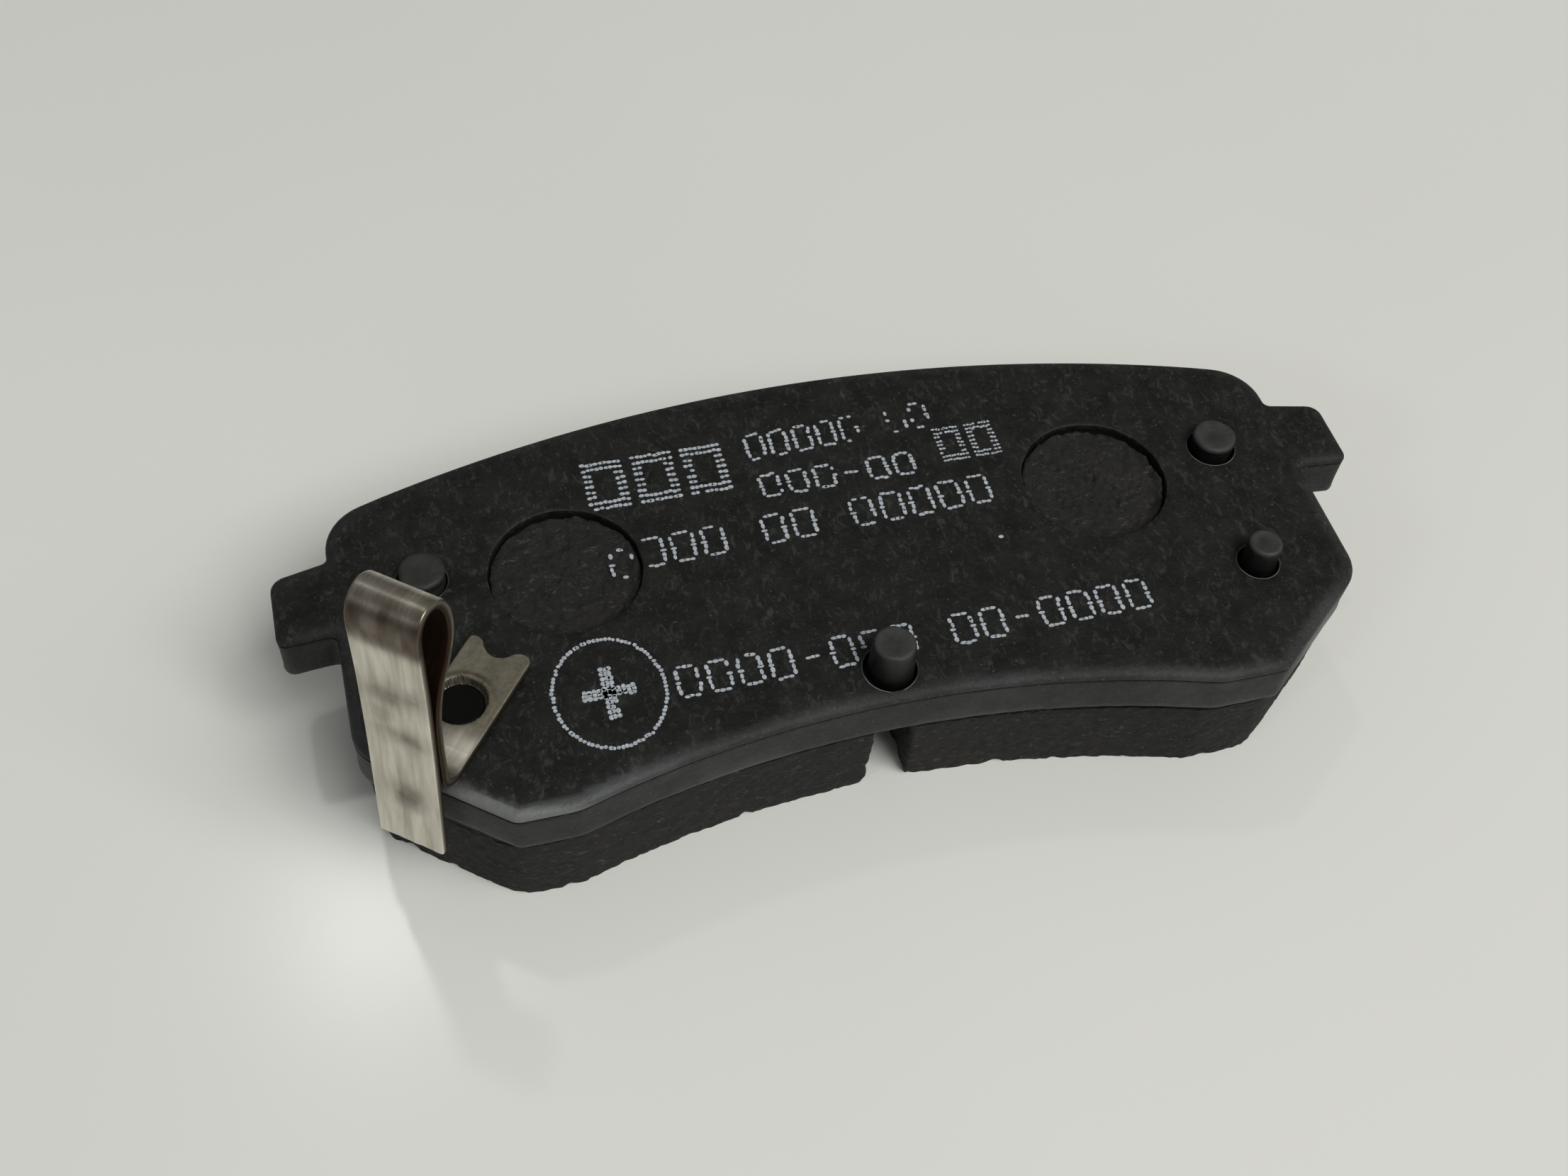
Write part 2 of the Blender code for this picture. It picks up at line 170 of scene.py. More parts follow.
def even(path, spacing):
    """A closed path read again at equal steps of its own length."""
    closed = np.vstack([path, path[:1]])
    length = np.concatenate([[0], np.cumsum(np.linalg.norm(np.diff(closed, axis=0), axis=1))])
    count = round(length[-1] / spacing)
    at = np.arange(count) * length[-1] / count
    return np.stack([np.interp(at, length, column) for column in closed.T], 1)


def outward(path):
    """The outward normals of a closed anticlockwise path: its direction turned clockwise."""
    along = unit(np.roll(path, -1, 0) - np.roll(path, 1, 0))
    return np.stack([along[:, 1], -along[:, 0]], 1)


def arc_points(radius, x_from, x_to, steps):
    """Points of the circle about the pad's arc centre, from one x to another."""
    turns = np.linspace(math.asin(x_from / radius), math.asin(x_to / radius), steps + 1)
    return [(radius * math.sin(a), ARC_CENTRE_Y + radius * math.cos(a), 0) for a in turns]


def half_outline(side, inset, x_inner, ears, foot_corner=FOOT_FILLET, mouth=0.0, chamfer_inset=0.0):
    """Corners of half the outline, from the top arc round by the ear and the foot to the arch."""
    edge = SIDE_X - inset
    foot_y = FOOT_Y + inset
    outer = OUTER_RADIUS - inset
    inner = INNER_RADIUS + inset
    sine, cosine = math.sin(CHAMFER_ANGLE), math.cos(CHAMFER_ANGLE)
    foot_end = SIDE_X - CHAMFER_WIDTHS[side]
    chamfer_top = FOOT_Y + ((edge - foot_end) * sine + chamfer_inset) / cosine
    chamfer_end = foot_end + (inset * cosine - chamfer_inset) / sine
    arch_end = math.sqrt(inner**2 - (foot_y - ARC_CENTRE_Y) ** 2)
    top = arc_points(outer, x_inner, edge, ARC_STEPS)
    corners = [(*top[0][:2], mouth), *top[1 : -1 - SHOULDER_ROOM], (*top[-1][:2], SHOULDER_FILLET - inset)]
    if ears:
        end = PLATE_HIGH[0]
        corners += [
            (edge, EAR_TOP, EAR_ROOT_FILLET),
            (end, EAR_TOP - EAR_TOP_DROP, EAR_TOP_CORNER),
            (end, EAR_TOP - EAR_WIDTH - EAR_BOTTOM_DROP, EAR_BOTTOM_CORNER),
            (edge, EAR_TOP - EAR_WIDTH, EAR_ROOT_FILLET),
        ]
    corners += [
        (edge, chamfer_top, SIDE_FILLET - inset),
        (chamfer_end, foot_y, foot_corner),
        (arch_end, foot_y, ARCH_BLEND),
    ]
    arch = arc_points(inner, x_inner, arch_end, ARC_STEPS)[::-1]
    corners += [*arch[1 + ARCH_ROOM : -1], (*arch[-1][:2], mouth)]
    return [(side * x, y, radius) for x, y, radius in corners]


def whole_outline(inset, ears, foot_corner=FOOT_FILLET, chamfer_inset=0.0):
    """The whole outline, anticlockwise: the right half mirrored to the left, foot widths apart."""
    right = half_outline(1, inset, 0.0, ears, foot_corner, 0.0, chamfer_inset)
    left = half_outline(-1, inset, 0.0, ears, foot_corner, 0.0, chamfer_inset)
    return rounded(right[::-1] + left[1:-1])


# ---------------------------------------------------------------- mesh tools


def make_piece(name, points, faces, material, nodes, sharp=40, values=None, uv=None):
    """A piece made of points and faces, which stands for CAD nodes and rides on the root.

    Values hold one number a point for each attribute, and uv one place a point.
    """
    mesh = bpy.data.meshes.new(name)
    mesh.from_pydata(np.asarray(points, float), [], faces)
    mesh.validate()
    mesh.materials.append(material)
    for key, numbers in (values or {}).items():
        attribute = mesh.attributes.new(key, "FLOAT", "POINT")
        attribute.data.foreach_set("value", np.asarray(numbers, np.float32))
    if uv is not None:
        layer = mesh.uv_layers.new(name="strip")
        corner_points = np.empty(len(mesh.loops), np.int32)
        mesh.loops.foreach_get("vertex_index", corner_points)
        layer.data.foreach_set("uv", np.asarray(uv, np.float32)[corner_points].ravel())
    mesh.shade_smooth()
    mesh.set_sharp_from_angle(angle=math.radians(sharp))
    piece = bpy.data.objects.new(name, mesh)
    bpy.context.scene.collection.objects.link(piece)
    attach(piece, "root")
    if nodes:
        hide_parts(*nodes)
    return piece


def wall(first, count, levels):
    """Quads between closed rings of count points, which follow each other from a first point's number."""
    i = np.arange(count)
    j = (i + 1) % count
    base = first + np.arange(levels - 1)[:, None] * count
    quads = np.stack([base + i, base + j, base + j + count, base + i + count], -1)
    return quads.reshape(-1, 4).tolist()


def circle(radius, count, place=(0, 0)):
    """A ring of points about a place, anticlockwise."""
    a = np.arange(count) * 2 * math.pi / count
    return np.stack([place[0] + radius * np.cos(a), place[1] + radius * np.sin(a)], 1)


def stack(ring, heights):
    """A ring of (x, y) at one or many heights, as (x, y, z) rows."""
    return np.column_stack([ring, np.broadcast_to(heights, len(ring))])


class Body:
    """Collects points and faces of one piece, with one value a point for each attribute."""

    def __init__(self):
        self.points = []
        self.faces = []
        self.values = []
        self.count = 0

    def add(self, points, faces, value=0.0):
        """Adds points and faces, whose numbers count from the first of these points."""
        first = self.count
        self.points.append(points)
        self.values.append(np.broadcast_to(value, len(points)))
        self.faces += [[first + n for n in face] for face in faces]
        self.count += len(points)
        return first

    def finish(self, name, material, nodes, material_slot, sharp=40, key="wear_sheen_and_shade"):
        """Makes the piece."""
        values = {key: np.concatenate(self.values)}
        points = np.concatenate(self.points)
        return make_piece(name, points, self.faces, material, nodes, sharp, values)


TURNED_SIDES = 72
WOBBLE_SIZE = 0.0016


def turned(body, profile, place, value, wobble, seed):
    """Adds a closed turned body: (radius, height) points from the bottom pole to the top pole, turned.

    Each radius is changed a little by grain round the axis, so that the edge is slightly uneven.
    """
    profile = np.array(profile)
    count = TURNED_SIDES
    angles = np.arange(count) * 2 * math.pi / count
    way = np.stack([np.cos(angles), np.sin(angles)], -1)
    rings = profile[1:-1, None, :1] * way[None]
    heights = np.repeat(profile[1:-1, 1], count)[:, None]
    points = np.column_stack([rings.reshape(-1, 2), heights])
    points[:, :2] *= 1 + wobble * grain(points, WOBBLE_SIZE, seed)[:, None]
    points = np.vstack([(0, 0, profile[0, 1]), points, (0, 0, profile[-1, 1])]) + (*place, 0)
    levels = len(profile) - 2
    i = np.arange(count)
    j = (i + 1) % count
    last = 1 + levels * count
    faces = np.stack([0 * i, 1 + j, 1 + i], 1).tolist()
    faces += wall(1, count, levels)
    faces += np.stack([0 * i + last, last - count + i, last - count + j], 1).tolist()
    values = np.broadcast_to(value, len(profile))
    spread = np.concatenate([values[:1], np.repeat(values[1:-1], count), values[-1:]])
    body.add(points, faces, spread)


# ---------------------------------------------------------------- materials


def set_stops(node, stops):
    """Gives a colour ramp node its (position, (r, g, b)) stops."""
    elements = node.color_ramp.elements
    while len(elements) < len(stops):
        elements.new(0.5)
    for element, (position, color) in zip(elements, stops):
        element.position = position
        element.color = (*color, 1.0)


class Nodes:
    """A material's node tree with short ways to add nodes."""

    def __init__(self, name):
        self.material = bpy.data.materials.new(name)
        self.material.use_nodes = True
        self.tree = self.material.node_tree
        self.shader = self.tree.nodes["Principled BSDF"]

    def node(self, kind, **settings):
        made = self.tree.nodes.new(kind)
        for key, value in settings.items():
            setattr(made, key, value)
        return made

    def link(self, start, end):
        self.tree.links.new(start, end)

    def coordinates(self, scale=(1, 1, 1), uv=False):
        """Object coordinates, or the strip's own UV map, stretched by a scale."""
        mapping = self.node("ShaderNodeMapping")
        mapping.inputs["Scale"].default_value = scale
        if uv:
            self.link(self.node("ShaderNodeUVMap", uv_map="strip").outputs["UV"], mapping.inputs["Vector"])
        else:
            source = self.node("ShaderNodeTexCoord")
            self.link(source.outputs["Object"], mapping.inputs["Vector"])
        return mapping.outputs["Vector"]

    def noise(self, vector, scale, detail=3.0, roughness=0.55, distortion=0.0):
        made = self.node("ShaderNodeTexNoise")
        made.inputs["Scale"].default_value = scale
        made.inputs["Detail"].default_value = detail
        made.inputs["Roughness"].default_value = roughness
        made.inputs["Distortion"].default_value = distortion
        self.link(vector, made.inputs["Vector"])
        return made.outputs["Fac"]

    def ramp(self, value, *stops):
        """A colour ramp of (position, (r, g, b)) stops."""
        made = self.node("ShaderNodeValToRGB")
        set_stops(made, stops)
        self.link(value, made.inputs["Fac"])
        return made.outputs["Color"]

    def level(self, value, low, high, to_low, to_high):
        """A number mapped from one range to another, and held at its ends."""
        made = self.node("ShaderNodeMapRange")
        settings = (("From Min", low), ("From Max", high), ("To Min", to_low), ("To Max", to_high))
        for key, number in settings:
            made.inputs[key].default_value = number
        self.link(value, made.inputs["Value"])
        return made.outputs["Result"]

    def held(self, value):
        """A number held between 0 and 1."""
        return self.level(value, 0.0, 1.0, 0.0, 1.0)

    def mix(self, factor, first, second):
        """A mix of two colours, each a socket or a plain (r, g, b)."""
        made = self.node("ShaderNodeMix", data_type="RGBA")
        self.link(factor, made.inputs["Factor"])
        for key, color in ((6, first), (7, second)):
            if isinstance(color, tuple):
                made.inputs[key].default_value = (*color, 1.0)
            else:
                self.link(color, made.inputs[key])
        return made.outputs[2]

    def math(self, operation, first, second):
        made = self.node("ShaderNodeMath", operation=operation)
        for key, value in ((0, first), (1, second)):
            if isinstance(value, (int, float)):
                made.inputs[key].default_value = value
            else:
                self.link(value, made.inputs[key])
        return made.outputs[0]

    def attribute(self, name):
        return self.node("ShaderNodeAttribute", attribute_name=name).outputs["Fac"]

    def bump(self, height, strength, distance, below=None):
        made = self.node("ShaderNodeBump")
        made.inputs["Strength"].default_value = strength
        made.inputs["Distance"].default_value = distance
        self.link(height, made.inputs["Height"])
        if below is not None:
            self.link(below, made.inputs["Normal"])
        return made.outputs["Normal"]

    def finish(self, color, roughness, normal=None):
        self.link(color, self.shader.inputs["Base Color"])
        self.link(roughness, self.shader.inputs["Roughness"])
        if normal is not None:
            self.link(normal, self.shader.inputs["Normal"])
        return self.material


def black_coat():
    """Matt black powder coat: mottled near-black with fine pale scuffs and dust.

    The attribute wear_sheen_and_shade is 0 on sound coat, 1 where it is rubbed smooth or has painted sheen,
    2 on a pale painted highlight, and -1 where painted shade turns cracks, moats and hole walls black.
    """
    n = Nodes("black_powder_coat")
    # Painted light: the grey is rubbed coat and painted sheen, the pale grey a painted highlight, the black
    # painted shade
    rubbed_and_sheen_grey, painted_highlight_grey, coat_shade_black = (0.074, 0.079, 0.080), (0.30, 0.31, 0.30), (0.0012, 0.0012, 0.0011)
    scuffed, dust = (0.052, 0.052, 0.047), (0.095, 0.095, 0.090)
    place = n.coordinates()
    mottle = n.noise(place, 420, 4.0, 0.62)
    scuff = n.noise(n.coordinates((1, 0.55, 1)), 1500, 5.0, 0.7, 0.8)
    coat = n.ramp(mottle, (0.36, (0.0030, 0.0032, 0.0026)), (0.64, (0.0104, 0.0107, 0.0088)))
    coat = n.mix(n.level(scuff, 0.53, 0.74, 0.0, 0.75), coat, scuffed)
    fleck = n.noise(place, 2600, 2.0, 0.5)
    coat = n.mix(n.level(fleck, 0.66, 0.76, 0.0, 0.55), coat, dust)
    wear = n.attribute("wear_sheen_and_shade")
    wear_sheen_and_shade = n.math("MULTIPLY", wear, n.level(mottle, 0.35, 0.65, 0.72, 1.0))
    coat = n.mix(n.held(wear_sheen_and_shade), coat, rubbed_and_sheen_grey)
    coat = n.mix(n.level(wear, 1.0, 2.0, 0.0, 1.0), coat, painted_highlight_grey)
    coat = n.mix(n.level(wear, -1.0, 0.0, 1.0, 0.0), coat, coat_shade_black)
    roughness = n.level(scuff, 0.3, 0.75, 0.55, 0.76)
    roughness = n.math("SUBTRACT", roughness, n.level(wear, 0.0, 1.0, 0.0, 0.20))
    grit = n.bump(n.noise(place, 1900, 4.0, 0.65), 0.75, 0.00014)
    swell = n.bump(n.noise(place, 420, 4.0, 0.6), 0.55, 0.00022, grit)
    n.shader.inputs["Specular IOR Level"].default_value = 0.25
    return n.finish(coat, roughness, swell)


def friction_mix(name, low, high, speck):
    """Friction compound: dark rough ground, rusty stains and pale metal and fibre specks."""
    n = Nodes(name)
    rust = (0.034, 0.026, 0.021)
    place = n.coordinates()
    ground = n.noise(place, 900, 6.0, 0.7)
    color = n.ramp(ground, (0.30, low), (0.72, high))
    stain = n.noise(place, 160, 3.0, 0.5)
    color = n.mix(n.level(stain, 0.55, 0.78, 0.0, 0.35), color, rust)
    fibres = n.noise(n.coordinates((0.5, 1, 1.2)), 2300, 4.0, 0.7, 1.2)
    color = n.mix(n.level(fibres, 0.56, 0.72, 0.0, 0.75), color, speck)
    roughness = n.level(ground, 0.3, 0.7, 0.80, 0.97)
    rough = n.bump(n.noise(place, 1500, 5.0, 0.75), 0.9, 0.00025)
    n.shader.inputs["Specular IOR Level"].default_value = 0.35
    return n.finish(color, roughness, rough)


def pin_coat(name, gloss):
    """The pins' thinner coat, paler where the attribute wear_sheen_and_shade is 1, from wear and painted
    sheen, and near-black painted shade where it is -1.
    """
    # The pale grey is wear and painted sheen; the near-black is painted shade
    handled_and_sheen_grey, pin_shade_black = (0.085, 0.085, 0.080), (0.0020, 0.0020, 0.0018)
    n = Nodes(name)
    n.shader.inputs["Specular IOR Level"].default_value = gloss
    place = n.coordinates()
    mottle = n.noise(place, 900, 5.0, 0.65)
    coat = n.ramp(mottle, (0.32, (0.014, 0.0145, 0.0135)), (0.70, (0.030, 0.031, 0.029)))
    wear = n.attribute("wear_sheen_and_shade")
    coat = n.mix(n.held(wear), coat, handled_and_sheen_grey)
    coat = n.mix(n.level(wear, -1.0, 0.0, 1.0, 0.0), coat, pin_shade_black)
    roughness = n.level(mottle, 0.3, 0.7, 0.45, 0.65)
    grit = n.bump(n.noise(place, 1900, 4.0, 0.6), 0.5, 0.00012)
    return n.finish(coat, roughness, grit)


def brushed_spring_steel():
    """Bare spring steel: warm nickel grey, brushed along the strip, with brown heat and grease stains.

    The strip's UV map holds the place across it and the length along it, in metres. Its attributes are
    stain (heat and grease, and painted dark reflections on the bend), dull_and_shade (the foot's rough
    olive skin and painted shade) and shade_and_dark_reflection (painted shade inside the loop and
    painted dark reflection on the bend).
    """
    n = Nodes("brushed_spring_steel")
    bright_line, shadow_cloud = (0.80, 0.77, 0.70), (0.30, 0.265, 0.21)
    # The brown is stain and painted dark reflection; the dark brown is painted shade and painted dark
    # reflection
    stain_reflection_brown, shade_and_reflection_brown = (0.155, 0.130, 0.104), (0.050, 0.027, 0.016)
    lines = n.noise(n.coordinates((1.0, 0.035, 1.0), uv=True), 5200, 3.0, 0.6)
    broad = n.noise(n.coordinates((1.0, 0.10, 1.0), uv=True), 900, 3.0, 0.6, 0.3)
    cloud = n.noise(n.coordinates((1.0, 0.6, 1.0), uv=True), 420, 4.0, 0.6, 0.4)
    color = n.ramp(broad, (0.30, (0.41, 0.372, 0.302)), (0.70, (0.75, 0.712, 0.630)))
    color = n.mix(n.level(lines, 0.50, 0.72, 0.0, 0.30), color, bright_line)
    color = n.mix(n.level(cloud, 0.56, 0.80, 0.0, 0.40), color, shadow_cloud)
    stain_reflection_share = n.math("MULTIPLY", n.attribute("stain"), n.level(cloud, 0.35, 0.65, 0.55, 1.0))
    color = n.mix(stain_reflection_share, color, stain_reflection_brown)
    dull_and_shade = n.attribute("dull_and_shade")
    speckle = n.noise(n.coordinates(), 1800, 4.0, 0.7)
    olive = n.ramp(speckle, (0.36, (0.070, 0.062, 0.038)), (0.66, (0.165, 0.150, 0.098)))
    color = n.mix(dull_and_shade, color, olive)
    color = n.mix(n.attribute("shade_and_dark_reflection"), color, shade_and_reflection_brown)
    roughness = n.level(lines, 0.3, 0.7, 0.26, 0.40)
    roughness = n.math("ADD", roughness, n.math("MULTIPLY", dull_and_shade, 0.22))
    roughness = n.math("ADD", roughness, n.math("MULTIPLY", stain_reflection_share, 0.15))
    brushing = n.bump(lines, 0.28, 0.00004)
    waves = n.noise(n.coordinates((1.0, 0.25, 1.0), uv=True), 700, 2.0, 0.5)
    swell = n.bump(waves, 0.25, 0.00010, brushing)
    n.shader.inputs["Metallic"].default_value = 1.0
    return n.finish(color, roughness, swell)


def stamping_ink():
    """Pale blue-grey marking ink, thin where the dots are dry."""
    n = Nodes("pale_marking_ink")
    dry = n.noise(n.coordinates(), 2600, 4.0, 0.65)
    color = n.ramp(dry, (0.30, (0.24, 0.27, 0.30)), (0.66, (0.50, 0.54, 0.59)))
    return n.finish(color, n.level(dry, 0.3, 0.7, 0.55, 0.80))


def pale_tabletop():
    """Off-white laminate: a faint mottle and a soft gloss."""
    n = Nodes("pale_tabletop")
    place = n.coordinates()
    mottle = n.noise(place, 9, 3.0, 0.5)
    color = n.ramp(mottle, (0.30, (0.740, 0.748, 0.712)), (0.70, (0.770, 0.778, 0.742)))
    roughness = n.level(n.noise(place, 40, 2.0, 0.5), 0.3, 0.7, 0.18, 0.21)
    n.shader.inputs["Specular IOR Level"].default_value = 0.35
    return n.finish(color, roughness)


# ---------------------------------------------------------------- backing plate

DIE_ROLL_WIDTH = 0.00085
DIE_ROLL_DEPTH = 0.00055
SOFT_ROLL_WIDTH = 0.0028
SOFT_ROLL_DEPTH = 0.00015
PLATE_STEP = 0.00030
ROLL_STEPS = 9
TOP_GRID = 0.00060
TOP_GRID_ROW = TOP_GRID * 0.866
GRID_CLEARANCE = TOP_GRID * 0.45
HOLE_LIP = 0.00016
LIP_STEPS = 5
HOLE_SIDES, MOAT_SIDES = 110, 64
HOLE_FLOOR_DEPTH = RETENTION_RECESS + 0.0004
# The painted sheen on the lip round a retention hole and round a pin's moat
HOLE_RIM_SHEEN, MOAT_RIM_SHEEN = 0.12, 0.95
# The moat round a pin's foot, shifted to the lower left and painted black as shade, whose rim has a
# painted highlight crescent on the side that faces the concave edge
MOAT = 0.00030
MOAT_DEPTH = 0.00095
MOAT_SHIFT = np.array((-0.00017, -0.00021))
CRESCENT_SIDE = np.array((-0.25, -0.97))
CRESCENT_HIGHLIGHT = 1.5
RAGGED_SHARE, RAGGED_SIZE, RAGGED_SEED = 0.0035, 0.0011, 30
# Where the painted highlight at the left foot's corner lies, and its reach
LEFT_FOOT_X, LEFT_FOOT_REACH = -0.0330, (0.008, 0.006)
# The most that an edge's wear and painted highlight reach, on the side and on the back
SIDE_LIGHTENING_LIMIT, BACK_LIGHTENING_LIMIT = 1.3, 1.25
RIPPLE, RIPPLE_SIZE = 0.00003, 0.0035
SWELL, SWELL_SIZE = 0.000012, 0.009
PATCH_SIZE, PATCH_SEED = 0.012, 8
# The plate's side under its die roll, as (inset, height, wear): heights count from the plate's
# underside in the first rows, and from the foot of the die roll in the others. The wear column also
# paints light: a pale line of painted highlight along the lower edge, a lighter side, and painted
# shade under the lower edge and in the crack.
LOWER_SIDE = (
    (0.00034, 0.0, -0.4),
    (0.00014, 0.00003, 0.7),
    (0.00004, 0.00012, 0.9),
    (0.00000, 0.00034, 0.95),
    (0.00004, 0.00070, 0.62),
    (0.00007, 0.00160, 0.46),
    (0.00004, 0.00280, 0.42),
)
UPPER_SIDE = (
    (0.00000, -0.00045, 0.42),
    (0.00002, -0.00030, 0.20),
    (0.00020, -0.00022, -1.0),
    (0.00022, -0.00010, -1.0),
    (0.00001, -0.00002, 0.10),
)


def roll_height(distance):
    """How far the plate's back drops at a distance in from its edge: a soft parabola plus an ellipse."""
    soft = SOFT_ROLL_DEPTH * np.clip(1 - distance / SOFT_ROLL_WIDTH, 0, 1) ** 2
    share = np.clip(1 - distance / DIE_ROLL_WIDTH, 0, 1)
    return soft + DIE_ROLL_DEPTH * (1 - np.sqrt(1 - share**2))


def edge_distance(points, path):
    """The distance of each point to the nearest side of a closed path."""
    start = path[None]
    side = np.roll(path, -1, 0)[None] - start
    share = ((points[:, None] - start) * side).sum(-1) / (side**2).sum(-1)
    nearest = start + side * np.clip(share, 0, 1)[..., None]
    return np.linalg.norm(points[:, None] - nearest, axis=-1).min(1)


def pin_place(node):
    """The middle of a pin in plan, and its largest radius."""
    low, high = box(node)
    return (low[:2] + high[:2]) / 2, (high[0] - low[0]) / 2


PINS = ("piston_pin", "shim_pin_left", "shim_pin_right", "rivet_pin_right")
RETENTION_PLACES = [np.array((side * RETENTION_X, RETENTION_Y)) for side in (-1, 1)]


def hole_rings():
    """Each hole of the plate: its place, radius, depth, the painted sheen of its lip and how many sides it
    has.
    """
    plain = RETENTION_RADIUS, HOLE_FLOOR_DEPTH, HOLE_RIM_SHEEN, HOLE_SIDES
    holes = [(place, *plain) for place in RETENTION_PLACES]
    for node in PINS:
        place, radius = pin_place(node)
        holes.append((place + MOAT_SHIFT, radius + MOAT, MOAT_DEPTH, MOAT_RIM_SHEEN, MOAT_SIDES))
    return holes


def rubbed_patches(points):
    """0 to 1 over the plate, in patches where handling has rubbed it more or less."""
    return smoothstep(-0.9, 1.1, grain(points, PATCH_SIZE, PATCH_SEED))


def backing_plate(material):
    """The stamped plate.

    Its side is one profile (inset, height) carried round the outline: a small round at the lower edge,
    the sheared band, a fine crack at the top of that band, and the die roll. Its back is a grid of
    points joined by Delaunay triangles between the outline and the holes, and dropped by roll_height.
    Each hole has a quarter-round lip, a ragged wall and a closed floor.
    """
    body = Body()
    outline = even(whole_outline(0.0, True), PLATE_STEP)
    normal = outward(outline)
    share = np.linspace(0, 1, ROLL_STEPS)
    roll = DIE_ROLL_WIDTH * (1 - np.cos(share * math.pi / 2))
    crack = PLATE_TOP - roll_height(0.0)
    # The die roll's wear column: handling wear and painted sheen, brightest at its foot
    roll_wear_and_sheen = 0.95 - 0.35 * share
    rows = np.vstack([
        np.array(LOWER_SIDE) + (0, PLATE_UNDER, 0),
        np.array(UPPER_SIDE) + (0, crack, 0),
        np.column_stack([roll, PLATE_TOP - roll_height(roll), roll_wear_and_sheen]),
    ])
    inset = rows[:, 0][:, None, None]
    rings = outline[None] - normal[None] * inset
    heights = np.broadcast_to(rows[:, 1][:, None, None], (*rings.shape[:2], 1))
    points = np.concatenate([rings, heights], -1).reshape(-1, 3)
    count = len(outline)
    levels = len(rows)
    ripple = grain(points, RIPPLE_SIZE, 5) * RIPPLE
    ripple *= np.repeat((rows[:, 1] < crack - 0.0003) & (rows[:, 0] < 0.0001), count)
    points[:, :2] -= np.tile(normal, (levels, 1)) * np.abs(ripple)[:, None]
    values = np.repeat(rows[:, 2], count)
    # The side's wear times random rubbed patches; above the crack, painted sheen toward the concave side
    # and a painted highlight at the left foot; below it, a painted reflection on the right chamfer's side
    rubbed = values * (0.50 + 0.50 * rubbed_patches(points))
    rubbed *= np.where(points[:, 2] > crack - 0.0001, edge_wear_and_highlight(points), 1.0)
    chamfer_reflection_mask = smoothstep(0.036, 0.039, points[:, 0]) * smoothstep(0.001, -0.004, points[:, 1])
    rubbed *= 1 + 1.1 * chamfer_reflection_mask * (points[:, 2] < crack - 0.0003)
    values = np.where(values > 0, np.minimum(rubbed, SIDE_LIGHTENING_LIMIT), values)
    body.add(points, wall(0, count, levels) + [list(range(count))[::-1]], values)

    rim = rings[-1]
    holes = hole_rings()
    loops = [rim] + [circle(radius + HOLE_LIP, sides, place) for place, radius, _, _, sides in holes]
    low, high = rim.min(0), rim.max(0)
    columns = np.arange(low[0], high[0], TOP_GRID)
    lines = np.arange(low[1], high[1], TOP_GRID_ROW)
    grid = np.stack(np.meshgrid(columns, lines, indexing="ij"), -1)
    grid[:, 1::2, 0] += TOP_GRID / 2
    grid = grid.reshape(-1, 2)
    inside = ray_inside(grid, rim) & (edge_distance(grid, rim) > GRID_CLEARANCE)
    for place, radius, *_ in holes:
        inside &= np.linalg.norm(grid - place, axis=1) > radius + HOLE_LIP + GRID_CLEARANCE
    flat = np.vstack([*loops, grid[inside]])
    first = np.cumsum([0] + [len(loop) for loop in loops])
    edges = []
    for start, loop in zip(first, loops):
        i = np.arange(len(loop))
        edges += np.stack([start + i, start + (i + 1) % len(loop)], 1).tolist()
    result = delaunay_2d_cdt([Vector(p) for p in flat.tolist()], edges, [], 1, 1e-9)
    triangles = np.array(result[2])
    places = np.array([tuple(p) for p in result[0]])
    middles = places[triangles].mean(1)
    keep = np.ones(len(triangles), bool)
    for place, radius, *_ in holes:
        keep &= np.linalg.norm(middles - place, axis=1) > (radius + HOLE_LIP) * 0.995
    triangles = triangles[keep]
    a, b, c = (places[triangles[:, k]] for k in range(3))
    area = (b[:, 0] - a[:, 0]) * (c[:, 1] - a[:, 1]) - (b[:, 1] - a[:, 1]) * (c[:, 0] - a[:, 0])
    triangles[area < 0] = triangles[area < 0][:, ::-1]
    depth = edge_distance(places, outline)
    back = PLATE_TOP - roll_height(depth)
    back -= SWELL * (1 + grain(places, SWELL_SIZE, 3)) * smoothstep(0.001, 0.004, depth)
    back[: len(rim)] = points[-count:, 2]
    # Near the edge the back is lightened by wear and painted sheen, most toward the concave side and at the
    # left foot
    wear_sheen_and_shade = 0.60 * np.clip(1 - depth / SOFT_ROLL_WIDTH, 0, 1) ** 3.0
    wear_sheen_and_shade *= edge_wear_and_highlight(places)
    wear_sheen_and_shade *= 0.25 + 0.75 * rubbed_patches(np.column_stack([places, back]))
    wear_sheen_and_shade = np.minimum(wear_sheen_and_shade, BACK_LIGHTENING_LIMIT)
    wear_sheen_and_shade[: len(rim)] = values[-count:]
    top = body.count
    body.add(np.column_stack([places, back])[len(rim):], [])
    numbers = np.where(triangles < len(rim), top - count + triangles, top + triangles - len(rim))
    body.faces += numbers.tolist()
    body.values[-1] = wear_sheen_and_shade[len(rim):]
    for index, (place, radius, deep, wear, sides) in enumerate(holes):
        loop = loops[index + 1]
        start = top + first[index + 1] - len(rim)
        surface = back[first[index + 1]: first[index + 1] + sides]
        turn = np.linspace(0, math.pi / 2, LIP_STEPS)[1:]
        spans = [(radius + HOLE_LIP * (1 - math.sin(t)), HOLE_LIP * (1 - math.cos(t))) for t in turn]
        spans += [(radius, deep * 0.5), (radius - 0.00002, deep - 0.0001), (radius - 0.0001, deep)]
        rows = [stack(circle(r, sides, place), surface - drop) for r, drop in spans]
        ragged = np.vstack(rows)
        uneven = RAGGED_SHARE * grain(ragged, RAGGED_SIZE, RAGGED_SEED + index)
